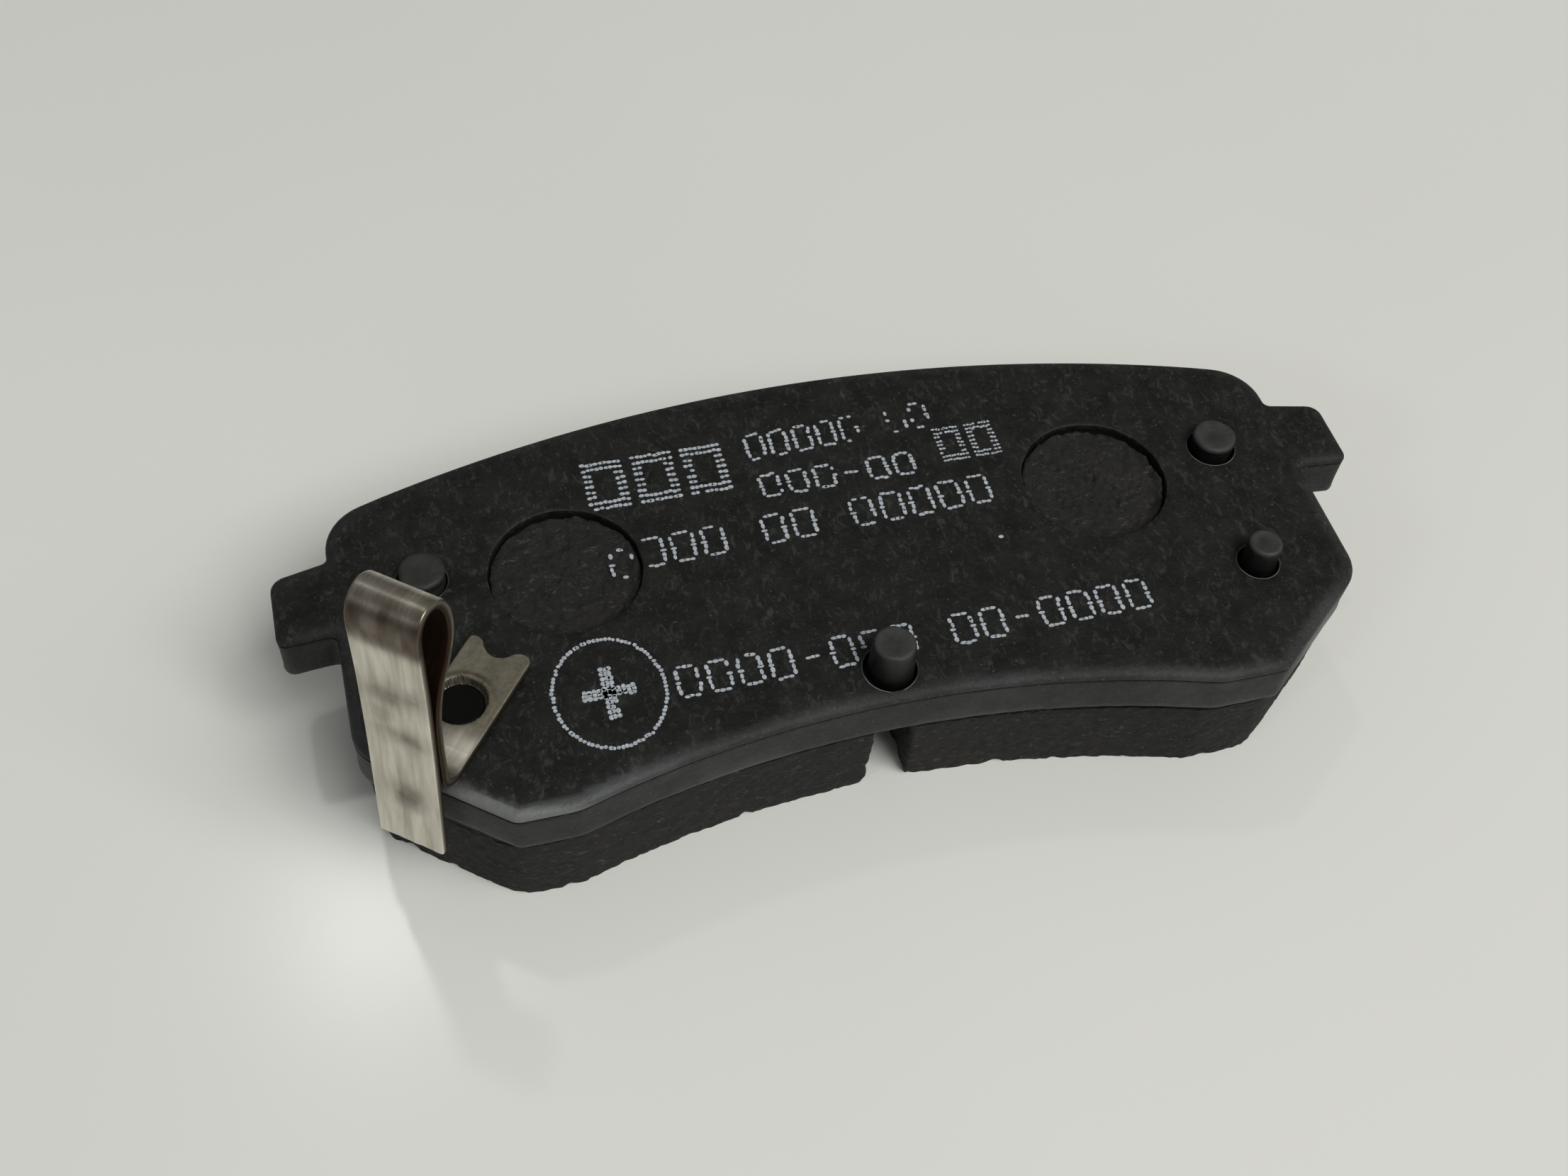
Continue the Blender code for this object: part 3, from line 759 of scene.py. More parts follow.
        ragged[:, :2] += (ragged[:, :2] - place) * uneven[:, None]
        # Painted sheen on the lip, then painted shade that darkens the wall to black at the floor
        lip_sheen_and_wall_shade = np.repeat([wear, wear, wear * 0.6, 0.0, -0.8, -1.0, -1.0], sides)
        # On a moat's rim, a painted highlight crescent on the side toward the concave edge
        toward = unit(loop - place) @ CRESCENT_SIDE
        if wear == MOAT_RIM_SHEEN:
            lip_sheen_and_wall_shade[: 3 * sides] += np.tile(CRESCENT_HIGHLIGHT * smoothstep(0.2, 0.95, toward), 3)
        ring_first = body.add(ragged, [], lip_sheen_and_wall_shade)
        i = np.arange(sides)
        j = (i + 1) % sides
        body.faces += np.stack([start + i, start + j, ring_first + j, ring_first + i], 1).tolist()
        body.faces += wall(ring_first, sides, len(spans))
        body.faces.append((body.count - sides + i).tolist())
    return body.finish("backing_plate_coated", material, ["backing_plate"], "coated_steel", 50)


def edge_wear_and_highlight(places):
    """How much an edge is lightened by wear and painted sheen: least on the long convex side, more toward
    the concave side, and most at the left foot, where a painted highlight lies.
    """
    front = 0.24 + 0.42 * smoothstep(0.004, -0.012, places[:, 1])
    from_foot = (places[:, :2] - (LEFT_FOOT_X, FOOT_Y)) / LEFT_FOOT_REACH
    return front + 3.0 * np.exp(-(from_foot**2).sum(1))


def ray_inside(points, path):
    """Whether each point lies in a closed path: a ray to +X crosses it an odd number of times."""
    x1, y1 = path.T
    x2, y2 = np.roll(path, -1, 0).T
    y = points[:, 1:]
    crosses = (y1 > y) != (y2 > y)
    at = x1 + (y - y1) * (x2 - x1) / np.where(y2 == y1, 1, y2 - y1)
    return (crosses & (points[:, :1] < at)).sum(1) % 2 == 1


# ---------------------------------------------------------------- friction material

WALL_STEP = 0.00034
LINING_CORNER = 0.0048
SLOT_LOW, SLOT_HIGH = LEFT_BLOCK_HIGH[0], RIGHT_BLOCK_LOW[0]
SLOT_MOUTH = 0.0007
DRAFT = 0.0003
CHAMFER_INSET = 0.0003
JOINT_GAP = 0.00005
BLOCK_LEVELS = 27
BLOCK_ROUGHNESS, BLOCK_CHIPS = 0.00018, 0.00035
UNDERLAYER_INSET = LINING_INSET + 0.0002
UNDERLAYER_ROUGHNESS = 0.00012
# The sizes of the grain in a rough side and the share of each
ROUGH_GRAIN = ((0.0011, 1.0), (0.0028, 0.7), (0.0007, 0.6))
CHIP_SIZE, CHIP_REACH = 0.0030, 0.0006
EDGE_LOSS = 0.00008


def rough_wall(body, outline, heights, draft, seed, depth, chips=0.0):
    """Adds a closed slab with a rough side.

    The outline is carried up the heights and moved in by draft at the lowest. Each point then goes
    in along the outline's normal by grain of three sizes, and near the lowest edge by a few chips,
    deep where coarse grain is high. The top and bottom are flat.
    """
    path = even(outline, WALL_STEP)
    normal = outward(path)
    heights = np.array(heights)
    levels, count = len(heights), len(path)
    up = (heights - heights[0]) / (heights[-1] - heights[0])
    rings = path[None] - normal[None] * (draft * (1 - up))[:, None, None]
    points = np.concatenate([rings, np.broadcast_to(heights[:, None, None], (levels, count, 1))], -1)
    points = points.reshape(-1, 3)
    rough = sum(share * grain(points, size, seed + k) for k, (size, share) in enumerate(ROUGH_GRAIN))
    move = depth * np.clip(0.5 + 0.28 * rough, 0, 1.6)
    edge = np.exp(-(points[:, 2] - heights[0]) / CHIP_REACH)
    move += chips * edge * np.clip(grain(points[:, :2], CHIP_SIZE, seed + 3) - 0.45, 0, 2)
    move += EDGE_LOSS * edge
    points[:, :2] -= np.tile(normal, (levels, 1)) * move[:, None]
    faces = wall(0, count, levels)
    faces.append(list(range(count))[::-1])
    faces.append([(levels - 1) * count + i for i in range(count)])
    body.add(points, faces)


def friction_block(side, material):
    """One friction block: half the outline up to the slot, drafted, rough and chipped at its low edge."""
    name = "friction_block_right" if side > 0 else "friction_block_left"
    low, _ = box(name)
    slot_wall = SLOT_HIGH if side > 0 else -SLOT_LOW
    half = half_outline(side, LINING_INSET, slot_wall, False, LINING_CORNER, SLOT_MOUTH, CHAMFER_INSET)
    outline = rounded(half[::-1] if side > 0 else half)
    body = Body()
    top = LINING_LOW[2] - JOINT_GAP
    heights = low[2] + (top - low[2]) * np.linspace(0, 1, BLOCK_LEVELS) ** 1.15
    rough_wall(body, outline, heights, DRAFT, 40 + side * 7, BLOCK_ROUGHNESS, BLOCK_CHIPS)
    return body.finish(name + "_rough", material, [name], "friction", 70)


def underlayer(material):
    """The bonding layer, a little further in than the plate's edge, and its plug in each retention hole."""
    body = Body()
    outline = whole_outline(UNDERLAYER_INSET, False, LINING_CORNER, CHAMFER_INSET)
    heights = np.linspace(LINING_LOW[2], PLATE_UNDER - 0.00004, 6)
    rough_wall(body, outline, heights, 0.0, 70, UNDERLAYER_ROUGHNESS)
    for index, place in enumerate(RETENTION_PLACES):
        plug(body, place, 90 + index)
    return body.finish("underlayer_rough", material, ["underlayer"], "underlayer", 70)


PLUG_RINGS, PLUG_SIDES = 44, 150
PLUG_RADIUS = RETENTION_RADIUS - 0.00012
PLUG_TOP = PLATE_TOP - RETENTION_RECESS
PLUG_FLOOR = PLUG_TOP - 0.00045


def plug(body, place, seed):
    """Adds a plug's fibrous end.

    Rings of a disc, evenly apart, hold grain of three sizes as their height; the compound climbs the
    hole's wall in lumps, and the side goes straight down.
    """
    rings, sides = PLUG_RINGS, PLUG_SIDES
    radius = PLUG_RADIUS * np.linspace(1, 1.0 / rings, rings)
    flat = (place + radius[:, None, None] * circle(1.0, sides)).reshape(-1, 2)
    out = np.repeat(radius / RETENTION_RADIUS, sides)
    height = 0.00008 * grain(flat, 0.0013, seed, 60) + 0.00006 * grain(flat, 0.0006, seed + 3, 60)
    height += 0.00012 * grain(flat, 0.0045, seed + 5)
    lumps = np.clip(0.6 + 0.5 * grain(flat, 0.0014, seed + 7), 0, 1.5)
    height += 0.00030 * lumps * smoothstep(0.84, 0.93, out) * (1 - smoothstep(0.955, 0.985, out))
    points = np.column_stack([flat, PLUG_TOP + np.clip(height, -0.0003, 0.0007)])
    floor = stack(circle(radius[0], sides, place), PLUG_FLOOR)
    pole = [(*place, PLUG_TOP)]
    first = body.add(np.vstack([floor, points, pole]), [])
    faces = wall(first, sides, rings + 1)
    i = np.arange(sides)
    last = first + rings * sides
    faces += np.stack([last + i, last + (i + 1) % sides, 0 * i + last + sides], 1).tolist()
    body.faces += faces
    body.faces.append((first + i[::-1]).tolist())


# ---------------------------------------------------------------- pins

# How much narrower a pin's end is than its foot: the short pins' ends are spread a little
END_DRAFT = {
    "piston_pin": 0.00016,
    "shim_pin_left": -0.00012,
    "shim_pin_right": -0.00012,
    "rivet_pin_right": 0.00002,
}
PIN_WOBBLE = 0.012
END_ROUND = 0.00042
SIDE_WAIST = 0.00008
# The share of painted shade and sheen kept on the pin that the strip half hides
HIDDEN_PIN_SHADING_SCALE = 0.1


def pin(node, name, material, seed):
    """A pin: a slightly tapered turned body, with a rounded edge and a shallow dish at its end.

    Its side goes from painted near-black shade at the foot to the plain coat at the end, whose edge is
    paler from wear and painted sheen.
    """
    low, high = box(node)
    place, foot = pin_place(node)
    top = high[2]
    end = foot - END_DRAFT[node]
    turn = np.linspace(0, math.pi / 2, 6)
    profile = [(0, low[2] + 0.001), (foot, low[2] + 0.001), (foot, PLATE_TOP - 0.0004), (foot, PLATE_TOP)]
    profile += [(foot - SIDE_WAIST, (PLATE_TOP + top) / 2)]
    profile += [(end - END_ROUND * (1 - math.cos(t)), top - END_ROUND * (1 - math.sin(t))) for t in turn]
    profile += [(end * 0.70, top - 0.00002), (end * 0.45, top - 0.00007), (end * 0.2, top - 0.00009)]
    profile += [(0, top - 0.00009)]
    # Painted shade, near-black at the foot, rising to a paler end edge of wear and painted sheen
    wear_sheen_and_shade = np.interp(range(len(profile)), [3, 4, 5, 8, 11, 13], [-1, -0.7, -0.25, 0.24, 0.20, 0.06])
    wear_sheen_and_shade *= HIDDEN_PIN_SHADING_SCALE if node == "shim_pin_left" else 1.0
    body = Body()
    turned(body, profile, place, wear_sheen_and_shade, PIN_WOBBLE, seed)
    return body.finish(name, material, [node], "pin_steel", 60)


# ---------------------------------------------------------------- wear indicator

STATIONS = 560
ACROSS = 44
EDGE_ROUND = 0.00017
NOTCH_HALF = 0.00150
NOTCH_DEPTH = 0.00125
HORN_ROUND = 0.0008
RIVET_HOLE = 0.00212
RIVET_COLLAR = 0.00275
FOOT_STATIONS = 170
FOOT_LENGTH = 0.0105
BEND_STEPS, CURVE_STEPS = 16, 10
LOOK_AHEAD = 0.00025
TIP_WAVER, TIP_REACH = 0.00004, 0.002
COLLAR_HEIGHT, COLLAR_WIDTH = 0.00016, 0.00032
HOLE_DEPTH, HOLE_EDGE = 0.00068, 0.00022
# How far the inner face's UV lies beside the outer face's
INNER_UV_SHIFT = 0.02
# The inner face's painted shade (near-black brown), its stain and its dull skin
INNER_PAINTED_SHADE, INNER_STAIN, INNER_DULL = 1.0, 0.6, 0.6
# How dull and olive the foot and the inner leg are, partly their rough skin and partly painted shade, and
# the inner leg's length
FOOT_DULL_AND_SHADE, INNER_LEG_DULL_AND_SHADE, INNER_LEG_LENGTH = 0.78, 0.55, 0.020
# Stains on the outer leg: distance under the loop's top, place across, height, width and strength
STAINS = (
    (0.0092, -0.0002, 0.0016, 0.0030, 0.85),
    (0.0143, 0.0008, 0.0012, 0.0021, 0.85),
    (0.0222, 0.0003, 0.0019, 0.0017, 1.0),
    (0.0119, -0.0012, 0.0014, 0.0012, 0.5),
)
# Painted dark reflections on the bend: the band past the loop's top and the fainter one before it:
# middle, half width and strength
DARK_REFLECTION_BANDS = (0.0020, 0.0020, 0.95), (-0.0012, 0.0012, 0.35)
DARK_REFLECTION_SHADE = 0.82


def strip_axes():
    """The strip's base point under its middle line, its outward direction and its width's direction."""
    away = np.array((-math.sin(CHAMFER_ANGLE), -math.cos(CHAMFER_ANGLE)))
    across = np.array((math.cos(CHAMFER_ANGLE), -math.sin(CHAMFER_ANGLE)))
    corner = np.array((CHAMFER_WIDTHS[-1] - SIDE_X, FOOT_Y))
    rivet, _ = pin_place("indicator_rivet")
    middle = rivet + STRIP_SHIFT * across
    return middle + away * ((corner - middle) @ away + STRIP_STANDOFF), away, across, rivet


def smooth_path(knots, steps):
    """A Catmull-Rom curve through the knots, with a number of steps between each two."""
    ends = np.vstack([2 * knots[0] - knots[1], knots, 2 * knots[-1] - knots[-2]])
    a, b, c, d = (ends[k: len(ends) - 3 + k][:, None] for k in range(4))
    t = (np.arange(steps) / steps)[None, :, None]
    cubic = (2 * b + (c - a) * t + (2 * a - 5 * b + 4 * c - d) * t**2 + (3 * b - a - 3 * c + d) * t**3) / 2
    return np.vstack([cubic.reshape(-1, 2), knots[-1:]])


def strip_line():
    """The strip's inner face in its own plane, from the foot's end round a bend and the hairpin to the tip.

    It gives the lengths along it, its (distance out, height) rows and the rivet's distance out.
    """
    base, away, _, rivet = strip_axes()
    at_rivet = (rivet - base) @ away
    floor = PLATE_TOP + FOOT_REST
    centre = INNER_LEG_OFFSET - FOOT_BEND_RADIUS
    turn = np.linspace(0, math.pi / 2, BEND_STEPS)
    bend = np.stack([
        centre + FOOT_BEND_RADIUS * np.sin(turn),
        floor + FOOT_BEND_RADIUS * (1 - np.cos(turn)),
    ], 1)
    raised = [(out, PLATE_TOP + up) for out, up in HAIRPIN]
    tip = [(TIP[0], PLATE_TOP + TIP[1])]
    hairpin = smooth_path(np.array([bend[-1], *raised, *tip]), CURVE_STEPS)
    line = np.vstack([[(at_rivet - FOOT_BEYOND_RIVET, floor)], bend[:-1], hairpin])
    length = np.concatenate([[0], np.cumsum(np.linalg.norm(np.diff(line, axis=0), axis=1))])
    return length, line, at_rivet


def wear_indicator(material):
    """The wear indicator, one bent strip.

    Its section is a thin rectangle with rounded edges, carried along the strip's inner line. Near
    the foot's end each lengthwise line starts further in, by the end's own curve: a round notch
    between two horns, whose outer corners are rounded. The foot's upper face has a blind hole for the
    rivet, round which a pressed collar stands up. Stains are soft ellipses on the outer leg, and the
    bands on the bend are painted dark reflections.
    """
    base, away, across, rivet = strip_axes()
    length, line, at_rivet = strip_line()
    half = STRIP_WIDTH / 2
    v = half * np.sin(np.linspace(-math.pi / 2, math.pi / 2, ACROSS) * 0.999)
    notch = NOTCH_DEPTH * np.clip(1 - (np.abs(v + 0.0001) / NOTCH_HALF) ** 2.4, 0, 1) ** 0.75
    corner = np.clip((np.abs(v) - (half - HORN_ROUND)) / HORN_ROUND, 0, 0.995)
    end = notch + HORN_ROUND * (1 - np.sqrt(1 - corner**2)) * np.where(v > 0, 1.0, 0.6)
    end += 0.00021 * smoothstep(0.0018, 0.0, np.abs(np.abs(v) - NOTCH_HALF) * 4)
    end += 0.00005 * grain(v[:, None], 0.0012, 4)
    share = np.linspace(0, 1, FOOT_STATIONS)[:, None]
    foot = end + (FOOT_LENGTH - end) * share
    rest = np.linspace(FOOT_LENGTH, length[-1], STATIONS - FOOT_STATIONS + 1)[1:, None]
    ragged_tip = TIP_WAVER * (grain(v[:, None], 0.0015, 6) - 2)
    rest = rest + np.clip((rest - length[-1] + TIP_REACH) / TIP_REACH, 0, 1) * ragged_tip
    at = np.vstack([foot, rest])
    out = np.interp(at, length, line[:, 0])
    up = np.interp(at, length, line[:, 1])
    d_out, d_up = (
        np.interp(at + LOOK_AHEAD, length, column) - np.interp(at - LOOK_AHEAD, length, column)
        for column in line.T
    )
    size = np.hypot(d_out, d_up)
    n_out, n_up = -d_up / size, d_out / size

    bow = 1 - (v / half) ** 2
    rounding = np.clip((np.abs(v) - (half - EDGE_ROUND)) / EDGE_ROUND, 0, 1)
    rho = EDGE_ROUND * (1 - np.sqrt(1 - rounding**2))
    low = np.broadcast_to(rho, at.shape).copy()
    high = np.broadcast_to(STRIP_THICKNESS - rho, at.shape).copy()
    shift_v = (rivet - base) @ across
    from_rivet = np.hypot(out - at_rivet, v[None] - shift_v)
    on_foot = at < FOOT_LENGTH
    collar = bell(from_rivet, RIVET_COLLAR - 0.0002, COLLAR_WIDTH)
    uphill = 0.55 + 0.45 * np.clip(-(out - at_rivet) / RIVET_COLLAR, -1, 1)
    high += on_foot * (COLLAR_HEIGHT * collar * uphill)
    high -= on_foot * HOLE_DEPTH * (1 - smoothstep(RIVET_HOLE, RIVET_HOLE + HOLE_EDGE, from_rivet))
    high -= 0.00002 * (1 - np.clip(from_rivet / 0.004, 0, 1)) * bow

    def side(depth):
        reach = out + n_out * depth
        height = up + n_up * depth
        flat = base + reach[..., None] * away + v[None, :, None] * across
        return np.concatenate([flat, height[..., None]], -1)

    outer, inner = side(high), side(low)
    rows = len(at)
    ring = np.concatenate([outer, inner[:, ::-1]], 1)
    count = 2 * ACROSS
    points = ring.reshape(-1, 3)
    faces = np.array(wall(0, count, rows))
    i = np.arange(ACROSS - 1)
    start_cap = np.stack([i, i + 1, count - 2 - i, count - 1 - i], 1)
    end_cap = start_cap[:, ::-1] + (rows - 1) * count
    faces = np.vstack([faces, start_cap, end_cap])[:, ::-1]
    uv = np.concatenate([
        np.stack([np.broadcast_to(v, at.shape), at], -1),
        np.stack([np.broadcast_to(v[::-1], at.shape), at[:, ::-1]], -1) + (INNER_UV_SHIFT, 0),
    ], 1).reshape(-1, 2)

    below = PLATE_TOP + max(height for _, height in HAIRPIN) - up
    past = at - length[line[:, 1].argmax()]
    stain = np.zeros(at.shape)
    for down, sideways, tall, wide, strength in STAINS:
        spot = bell(below, down, tall) * bell(v, sideways, wide)
        stain = np.maximum(stain, strength * spot * (past > 0))
    # Painted dark reflections on the bend, added to the stain; the main band also as shade colour
    band, faint = (strength * bell(past, middle, reach, 4) for middle, reach, strength in DARK_REFLECTION_BANDS)
    streaks = grain(np.stack([at * 0.5, np.broadcast_to(v, at.shape)], -1), 0.0012, 12)
    dark_reflection = band * (0.8 + 0.2 * np.clip(streaks, -1, 1))
    stain = np.maximum(stain, band + faint)
    # The foot and the inner leg are dull olive: rough skin and painted shade
    on_inner_leg = (at >= FOOT_LENGTH) & (at < FOOT_LENGTH + INNER_LEG_LENGTH)
    dull_and_shade = FOOT_DULL_AND_SHADE * on_foot + INNER_LEG_DULL_AND_SHADE * on_inner_leg
    # A painted glint near the foot's end, where the olive is taken away so bright metal shows
    painted_glint = bell(at, FOOT_LENGTH - 0.0005, 0.0013) * smoothstep(-0.001, 0.002, v)
    dull_and_shade = np.clip(dull_and_shade - 0.7 * painted_glint, 0, 1)
    stain = np.maximum(stain, 0.35 * collar * on_foot)
    # The inner face is painted near-black brown as shade
    values = {
        "stain": np.concatenate([stain, np.maximum(stain[:, ::-1], INNER_STAIN)], 1).ravel(),
        "dull_and_shade": np.concatenate([dull_and_shade, np.maximum(dull_and_shade[:, ::-1], INNER_DULL)], 1).ravel(),
        "shade_and_dark_reflection": np.concatenate([DARK_REFLECTION_SHADE * dark_reflection, np.full(at.shape, INNER_PAINTED_SHADE)], 1).ravel(),
    }
    return make_piece(
        "wear_indicator_strip", points, faces.tolist(), material, ["wear_indicator"],
        45, values, uv,
    )


RIVET_EDGE = RIVET_HOLE - 0.00006
RIVET_SINK = 0.00062
RIVET_LIFT = 0.00006
RIVET_WOBBLE, RIVET_SEED = 0.008, 61


def indicator_rivet(material):
    """The rivet's end: a low dome sunk in the foot's hole, with a rounded edge."""
    place, _ = pin_place("indicator_rivet")
    edge = RIVET_EDGE
    rim = PLATE_TOP + FOOT_REST + STRIP_THICKNESS - RIVET_SINK
    low = PLATE_TOP + FOOT_REST + RIVET_LIFT
    crown = [(edge, 0), (edge - 0.00010, 0.00008), (edge - 0.0003, 0.00012), (edge * 0.72, 0.00008)]
    crown += [(edge * 0.4, 0.00012), (edge * 0.15, 0.00013), (0, 0.00013)]
    profile = [(0, low), (edge, low)] + [(radius, rim + height) for radius, height in crown]
    body = Body()
    # -1 paints the whole end near-black: painted shade in the foot's hole, over its black coat
    turned(body, profile, place, -1.0, RIVET_WOBBLE, RIVET_SEED)
    return body.finish("indicator_rivet_end", material, ["indicator_rivet"], "pin_steel", 60)


# ---------------------------------------------------------------- ink marks

INK_HEIGHT = 0.000022
ZERO = (".###.", "#...#", "#...#", "#...#", "#...#", "#...#", ".###.")
DASH = (".....", ".....", ".....", ".###.", ".....", ".....", ".....")
SPACE = (".....",) * 7
SIGNS = {"0": ZERO, "-": DASH, " ": SPACE}
SIGN_COLUMNS = 5
# Each row of plain zeros and dashes: text, left end, base height, length, letter height, slope
INK_ROWS = (
    ("00000 00", -0.0059, 0.0118, 0.0182, 0.0029, 0.040),
    ("000-00", -0.0057, 0.0072, 0.0150, 0.0025, -0.002),
    ("0000 00 00000", -0.0208, 0.0015, 0.0361, 0.0031, 0.026),
    ("0000-000 00-0000", -0.0180, -0.0125, 0.0433, 0.0030, 0.008),
)
# Each row of bold hollow squares: left end, base height, how many, length and letter height
BLOCK_ROWS = ((-0.0213, 0.0090, 3, 0.0132, 0.0053), (0.0119, 0.0079, 2, 0.0058, 0.0039))
RING_PLACE = (-0.02376, -0.01066)
RING_RADII = (0.00475, 0.00550)
RING_COUNT, BAR_COUNT = 84, 11
BAR_SHIFTS = (-0.00032, 0.0, 0.00032)
FLECK = (0.01408, -0.00185, 0.00022, 0.00018)
BLOCK_CELLS, BLOCK_BORDER = 9, 2
RUBBED_FROM_X, RUBBED_SHARE = 0.004, 0.55
LOST_SHARE, SUNK_LOST_SHARE = 0.03, 0.45
INK_SCATTER = 0.00004
INK_CLEARANCE = 0.0004
DOT_SIDES = 8


def sign_dots(text, x, y, long, tall, slope):
    """Dots of a row of signs on a five by seven grid, as (x, y, half width, half height) rows."""
    rows = np.array([[list(line) for line in SIGNS[sign]] for sign in text])
    sign, down, column = np.nonzero(rows == "#")
    pitch = long / (len(text) * (SIGN_COLUMNS + 1.0) - 1)
    across = (sign * (SIGN_COLUMNS + 1.0) + column) * pitch
    up = (6 - down) / 6 * tall
    flat = (down == 0) | (down == 6) | (down == 3)
    width = np.where(flat, pitch * 0.56, 0.00017)
    height = np.where(flat, 0.00014, tall / 12 * 1.02)
    return np.column_stack([x + across, y + up + slope * across, width, height])


def block_dots(x, y, count, long, tall):
    """Dots of a row of bold hollow squares, each a border round a square of cells."""
    n = BLOCK_CELLS
    i, j = np.meshgrid(np.arange(n), np.arange(n), indexing="ij")
    frame_cells = np.minimum(np.minimum(i, n - 1 - i), np.minimum(j, n - 1 - j)) < BLOCK_BORDER
    i, j = i[frame_cells], j[frame_cells]
    pitch = long / (count * (n + 2) - 2)
    first = np.arange(count)[:, None] * (n + 2) * pitch
    across = (first + i * pitch).ravel()
    up = np.tile(j / (n - 1) * tall, count)
    size = np.full(len(up), pitch * 0.52)
    return np.column_stack([x + across, y + up, size, size * 0.72])


def ring_dots():
    """Dots round an ellipse, with a plain upright cross in it."""
    around = RING_PLACE + circle(1.0, RING_COUNT) * RING_RADII
    line = np.linspace(-1, 1, BAR_COUNT)
    bars = []
    for shift in BAR_SHIFTS:
        bars.append(np.stack([RING_PLACE[0] + line * 0.0021, RING_PLACE[1] + shift + 0 * line], 1))
        bars.append(np.stack([RING_PLACE[0] + shift + 0 * line, RING_PLACE[1] + line * 0.0024], 1))
    dots = np.vstack([around, *bars])
    sizes = np.concatenate([np.full(len(around), 0.00017), np.full(len(dots) - len(around), 0.00021)])
    return np.column_stack([dots, sizes, sizes])


def ink_marks(material):
    """Generic ink marks: every dot is a low eight-sided disc on the plate's back or on a plug.

    The dots' places, sizes and heights are arrays, and each disc is the same ring of points moved
    and stretched to its dot. Many dots are lost at the first row's rubbed end, a few elsewhere, and
    none lies where a pin, its moat or a hole's wall is.
    """
    random = np.random.default_rng(17)
    dots = [sign_dots(*row) for row in INK_ROWS]
    rubbed = dots[0][:, 0] > RUBBED_FROM_X
    worn_away = rubbed & (random.uniform(size=len(rubbed)) < RUBBED_SHARE)
    dots[0] = dots[0][~worn_away]
    dots += [block_dots(*row) for row in BLOCK_ROWS]
    dots.append(ring_dots())
    dots = np.vstack([*dots, FLECK])
    dots = dots[random.uniform(size=len(dots)) > LOST_SHARE]
    dots[:, :2] += random.normal(scale=INK_SCATTER, size=(len(dots), 2))
    dots[:, 2:] *= random.uniform(0.92, 1.28, (len(dots), 2))
    keep = np.ones(len(dots), bool)
    for node in PINS:
        place, radius = pin_place(node)
        keep &= np.linalg.norm(dots[:, :2] - place, axis=1) > radius + MOAT + INK_CLEARANCE
    sunk = np.zeros(len(dots), bool)
    for place in RETENTION_PLACES:
        away = np.linalg.norm(dots[:, :2] - place, axis=1)
        keep &= np.abs(away - RETENTION_RADIUS) > INK_CLEARANCE
        sunk |= away < RETENTION_RADIUS
    keep &= ~sunk | (random.uniform(size=len(dots)) > SUNK_LOST_SHARE)
    dots, sunk = dots[keep], sunk[keep]
    sides = DOT_SIDES
    a = (np.arange(sides) + 0.5) * 2 * math.pi / sides
    ring = np.stack([np.cos(a), np.sin(a)], 1)
    flat = dots[:, None, :2] + ring[None] * dots[:, None, 2:]
    ground = np.where(sunk, PLUG_TOP + 0.00012, PLATE_TOP - 0.00004)
    top = np.where(sunk, ground + 0.00010, PLATE_TOP + INK_HEIGHT)
    lower = np.concatenate([flat, np.broadcast_to(ground[:, None, None], (*flat.shape[:2], 1))], -1)
    upper = np.concatenate([flat, np.broadcast_to(top[:, None, None], (*flat.shape[:2], 1))], -1)
    points = np.concatenate([lower, upper], 1).reshape(-1, 3)
    i = np.arange(sides)
    j = (i + 1) % sides
    first = (np.arange(len(dots)) * 2 * sides)[:, None, None]
    sidewalls = (first + np.stack([i, j, j + sides, i + sides], 1)[None]).reshape(-1, 4).tolist()
    lids = (first[:, 0] + i + sides).tolist() + (first[:, 0] + i[::-1]).tolist()
    return make_piece("generic_ink_marks", points, sidewalls + lids, material, [], 30)


# ---------------------------------------------------------------- floor, light and camera

TABLETOP_HALF = 1.5
SENSOR_WIDTH = 36.0
NEAR, FAR = 0.01, 20.0
LAMP_DISTANCE = 1.3
ROOM_STRENGTH = 0.42
# The room's colours by the height of the direction: brown under the horizon, grey above
ROOM_COLOURS = (
    (0.0, (0.05, 0.04, 0.03)),
    (0.12, (0.07, 0.055, 0.04)),
    (0.35, (0.55, 0.55, 0.53)),
    (0.75, (0.50, 0.50, 0.48)),
)


def view_axes():
    """The camera's right, up and backward directions from its azimuth, elevation and roll."""
    back = Vector((
        math.sin(VIEW_AZIMUTH) * math.cos(VIEW_ELEVATION),
        -math.cos(VIEW_AZIMUTH) * math.cos(VIEW_ELEVATION),
        math.sin(VIEW_ELEVATION),
    ))
    level = Vector((0, 0, 1)).cross(back).normalized()
    upright = back.cross(level)
    right = level * math.cos(VIEW_ROLL) + upright * math.sin(VIEW_ROLL)
    up = upright * math.cos(VIEW_ROLL) - level * math.sin(VIEW_ROLL)
    return right, up, back


def camera():
    """The camera at the viewing angle."""
    right, up, back = view_axes()
    data = bpy.data.cameras.new("view")
    data.lens = LENS
    data.sensor_width = SENSOR_WIDTH
    data.clip_start = NEAR
    data.clip_end = FAR
    thing = bpy.data.objects.new("view", data)
    turn = Matrix((right, up, back)).transposed().to_4x4()
    thing.matrix_world = Matrix.Translation(Vector(VIEW_TARGET) + back * VIEW_DISTANCE) @ turn
    bpy.context.scene.collection.objects.link(thing)
    bpy.context.scene.camera = thing


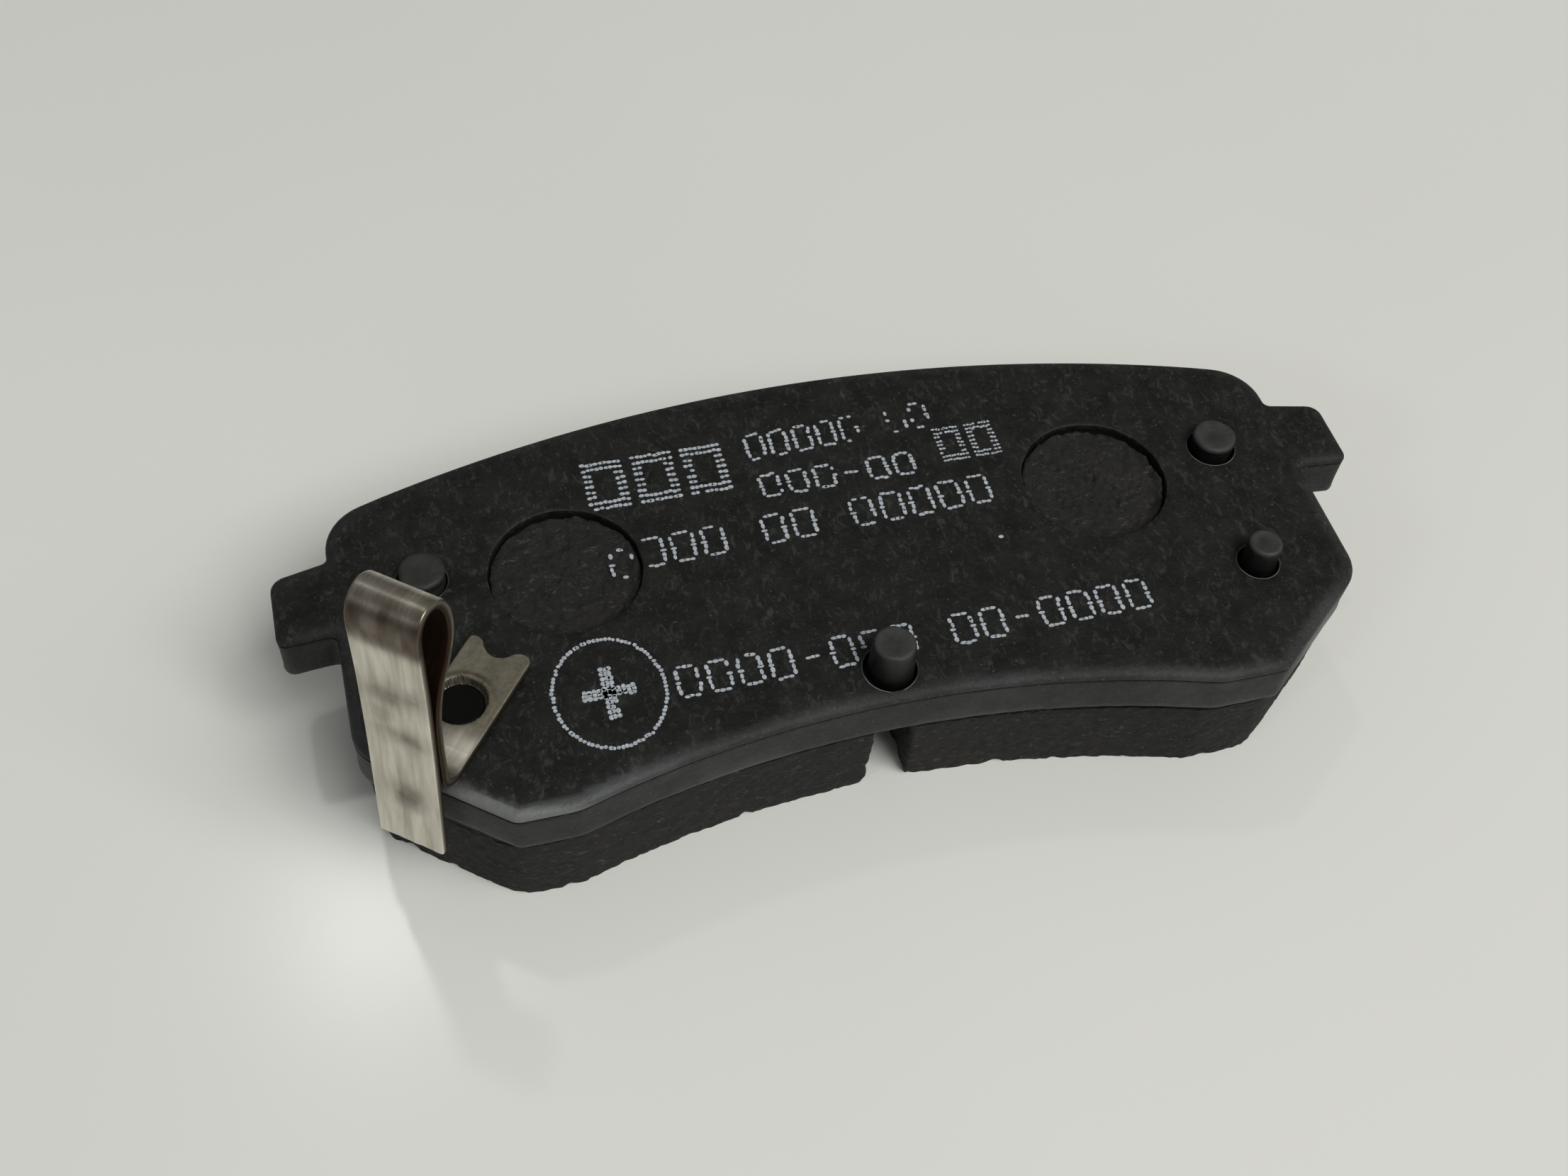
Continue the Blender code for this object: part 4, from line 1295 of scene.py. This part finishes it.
def floor_sheet(material):
    """The tabletop, a flat square under the pad."""
    half = TABLETOP_HALF
    mesh = bpy.data.meshes.new("tabletop")
    corners = [(-half, -half, 0), (half, -half, 0), (half, half, 0), (-half, half, 0)]
    mesh.from_pydata(corners, [], [(0, 1, 2, 3)])
    mesh.materials.append(material)
    sheet = bpy.data.objects.new("tabletop", mesh)
    bpy.context.scene.collection.objects.link(sheet)


def area_light(name, place, target, size, power, color):
    """A square soft light at a place, turned to a target."""
    data = bpy.data.lights.new(name, "AREA")
    data.size = size
    data.energy = power
    data.color = color
    thing = bpy.data.objects.new(name, data)
    thing.location = place
    thing.rotation_euler = (Vector(target) - Vector(place)).to_track_quat("-Z", "Y").to_euler()
    bpy.context.scene.collection.objects.link(thing)


GLOSS_SPOT = Vector((-0.0464, -0.0196, 0.0))


def lights():
    """A soft overhead light, a weak cool window, a lamp behind the pad and a dim room.

    The lamp stands where the table mirrors it to the camera, so its gloss lies on the table.
    """
    _, _, back = view_axes()
    eye = Vector(VIEW_TARGET) + back * VIEW_DISTANCE
    to_spot = (GLOSS_SPOT - eye).normalized()
    bounce = Vector((to_spot.x, to_spot.y, -to_spot.z))
    area_light("ceiling", (0.42, -0.62, 1.05), (0, 0, 0), 0.75, 12.9, (1.0, 0.99, 0.965))
    area_light("window", (-0.90, -0.56, 0.70), (0, 0, 0), 0.16, 0.85, (0.90, 0.96, 1.0))
    area_light("lamp", GLOSS_SPOT + bounce * LAMP_DISTANCE, GLOSS_SPOT, 0.06, 0.6, (1.0, 0.99, 0.97))
    world = bpy.data.worlds.new("room")
    world.use_nodes = True
    tree = world.node_tree
    background = tree.nodes["Background"]
    place = tree.nodes.new("ShaderNodeTexCoord")
    split = tree.nodes.new("ShaderNodeSeparateXYZ")
    ramp = tree.nodes.new("ShaderNodeValToRGB")
    set_stops(ramp, ROOM_COLOURS)
    tree.links.new(place.outputs["Generated"], split.inputs["Vector"])
    tree.links.new(split.outputs["Z"], ramp.inputs["Fac"])
    tree.links.new(ramp.outputs["Color"], background.inputs["Color"])
    background.inputs["Strength"].default_value = ROOM_STRENGTH
    bpy.context.scene.world = world
    bpy.context.scene.view_settings.view_transform = "Standard"


# ---------------------------------------------------------------- assembly

# Dark ground, light ground and specks
FRICTION_COLOURS = (0.0072, 0.0070, 0.0064), (0.0225, 0.0218, 0.0200), (0.110, 0.105, 0.095)
BONDING_COLOURS = (0.0060, 0.0063, 0.0058), (0.0200, 0.0198, 0.0180), (0.085, 0.083, 0.078)


def main():
    """Makes every piece, then the floor, the lights and the camera."""
    coat = black_coat()
    pins = pin_coat("pin_black_coat", 0.30)
    backing_plate(coat)
    mix = friction_mix("friction_compound", *FRICTION_COLOURS)
    friction_block(-1, mix)
    friction_block(1, mix)
    underlayer(friction_mix("bonding_layer", *BONDING_COLOURS))
    for index, node in enumerate(PINS):
        pin(node, node + "_turned", pins, 50 + index)
    wear_indicator(brushed_spring_steel())
    indicator_rivet(pin_coat("rivet_black_coat", 0.08))
    ink_marks(stamping_ink())
    floor_sheet(pale_tabletop())
    lights()
    camera()


main()
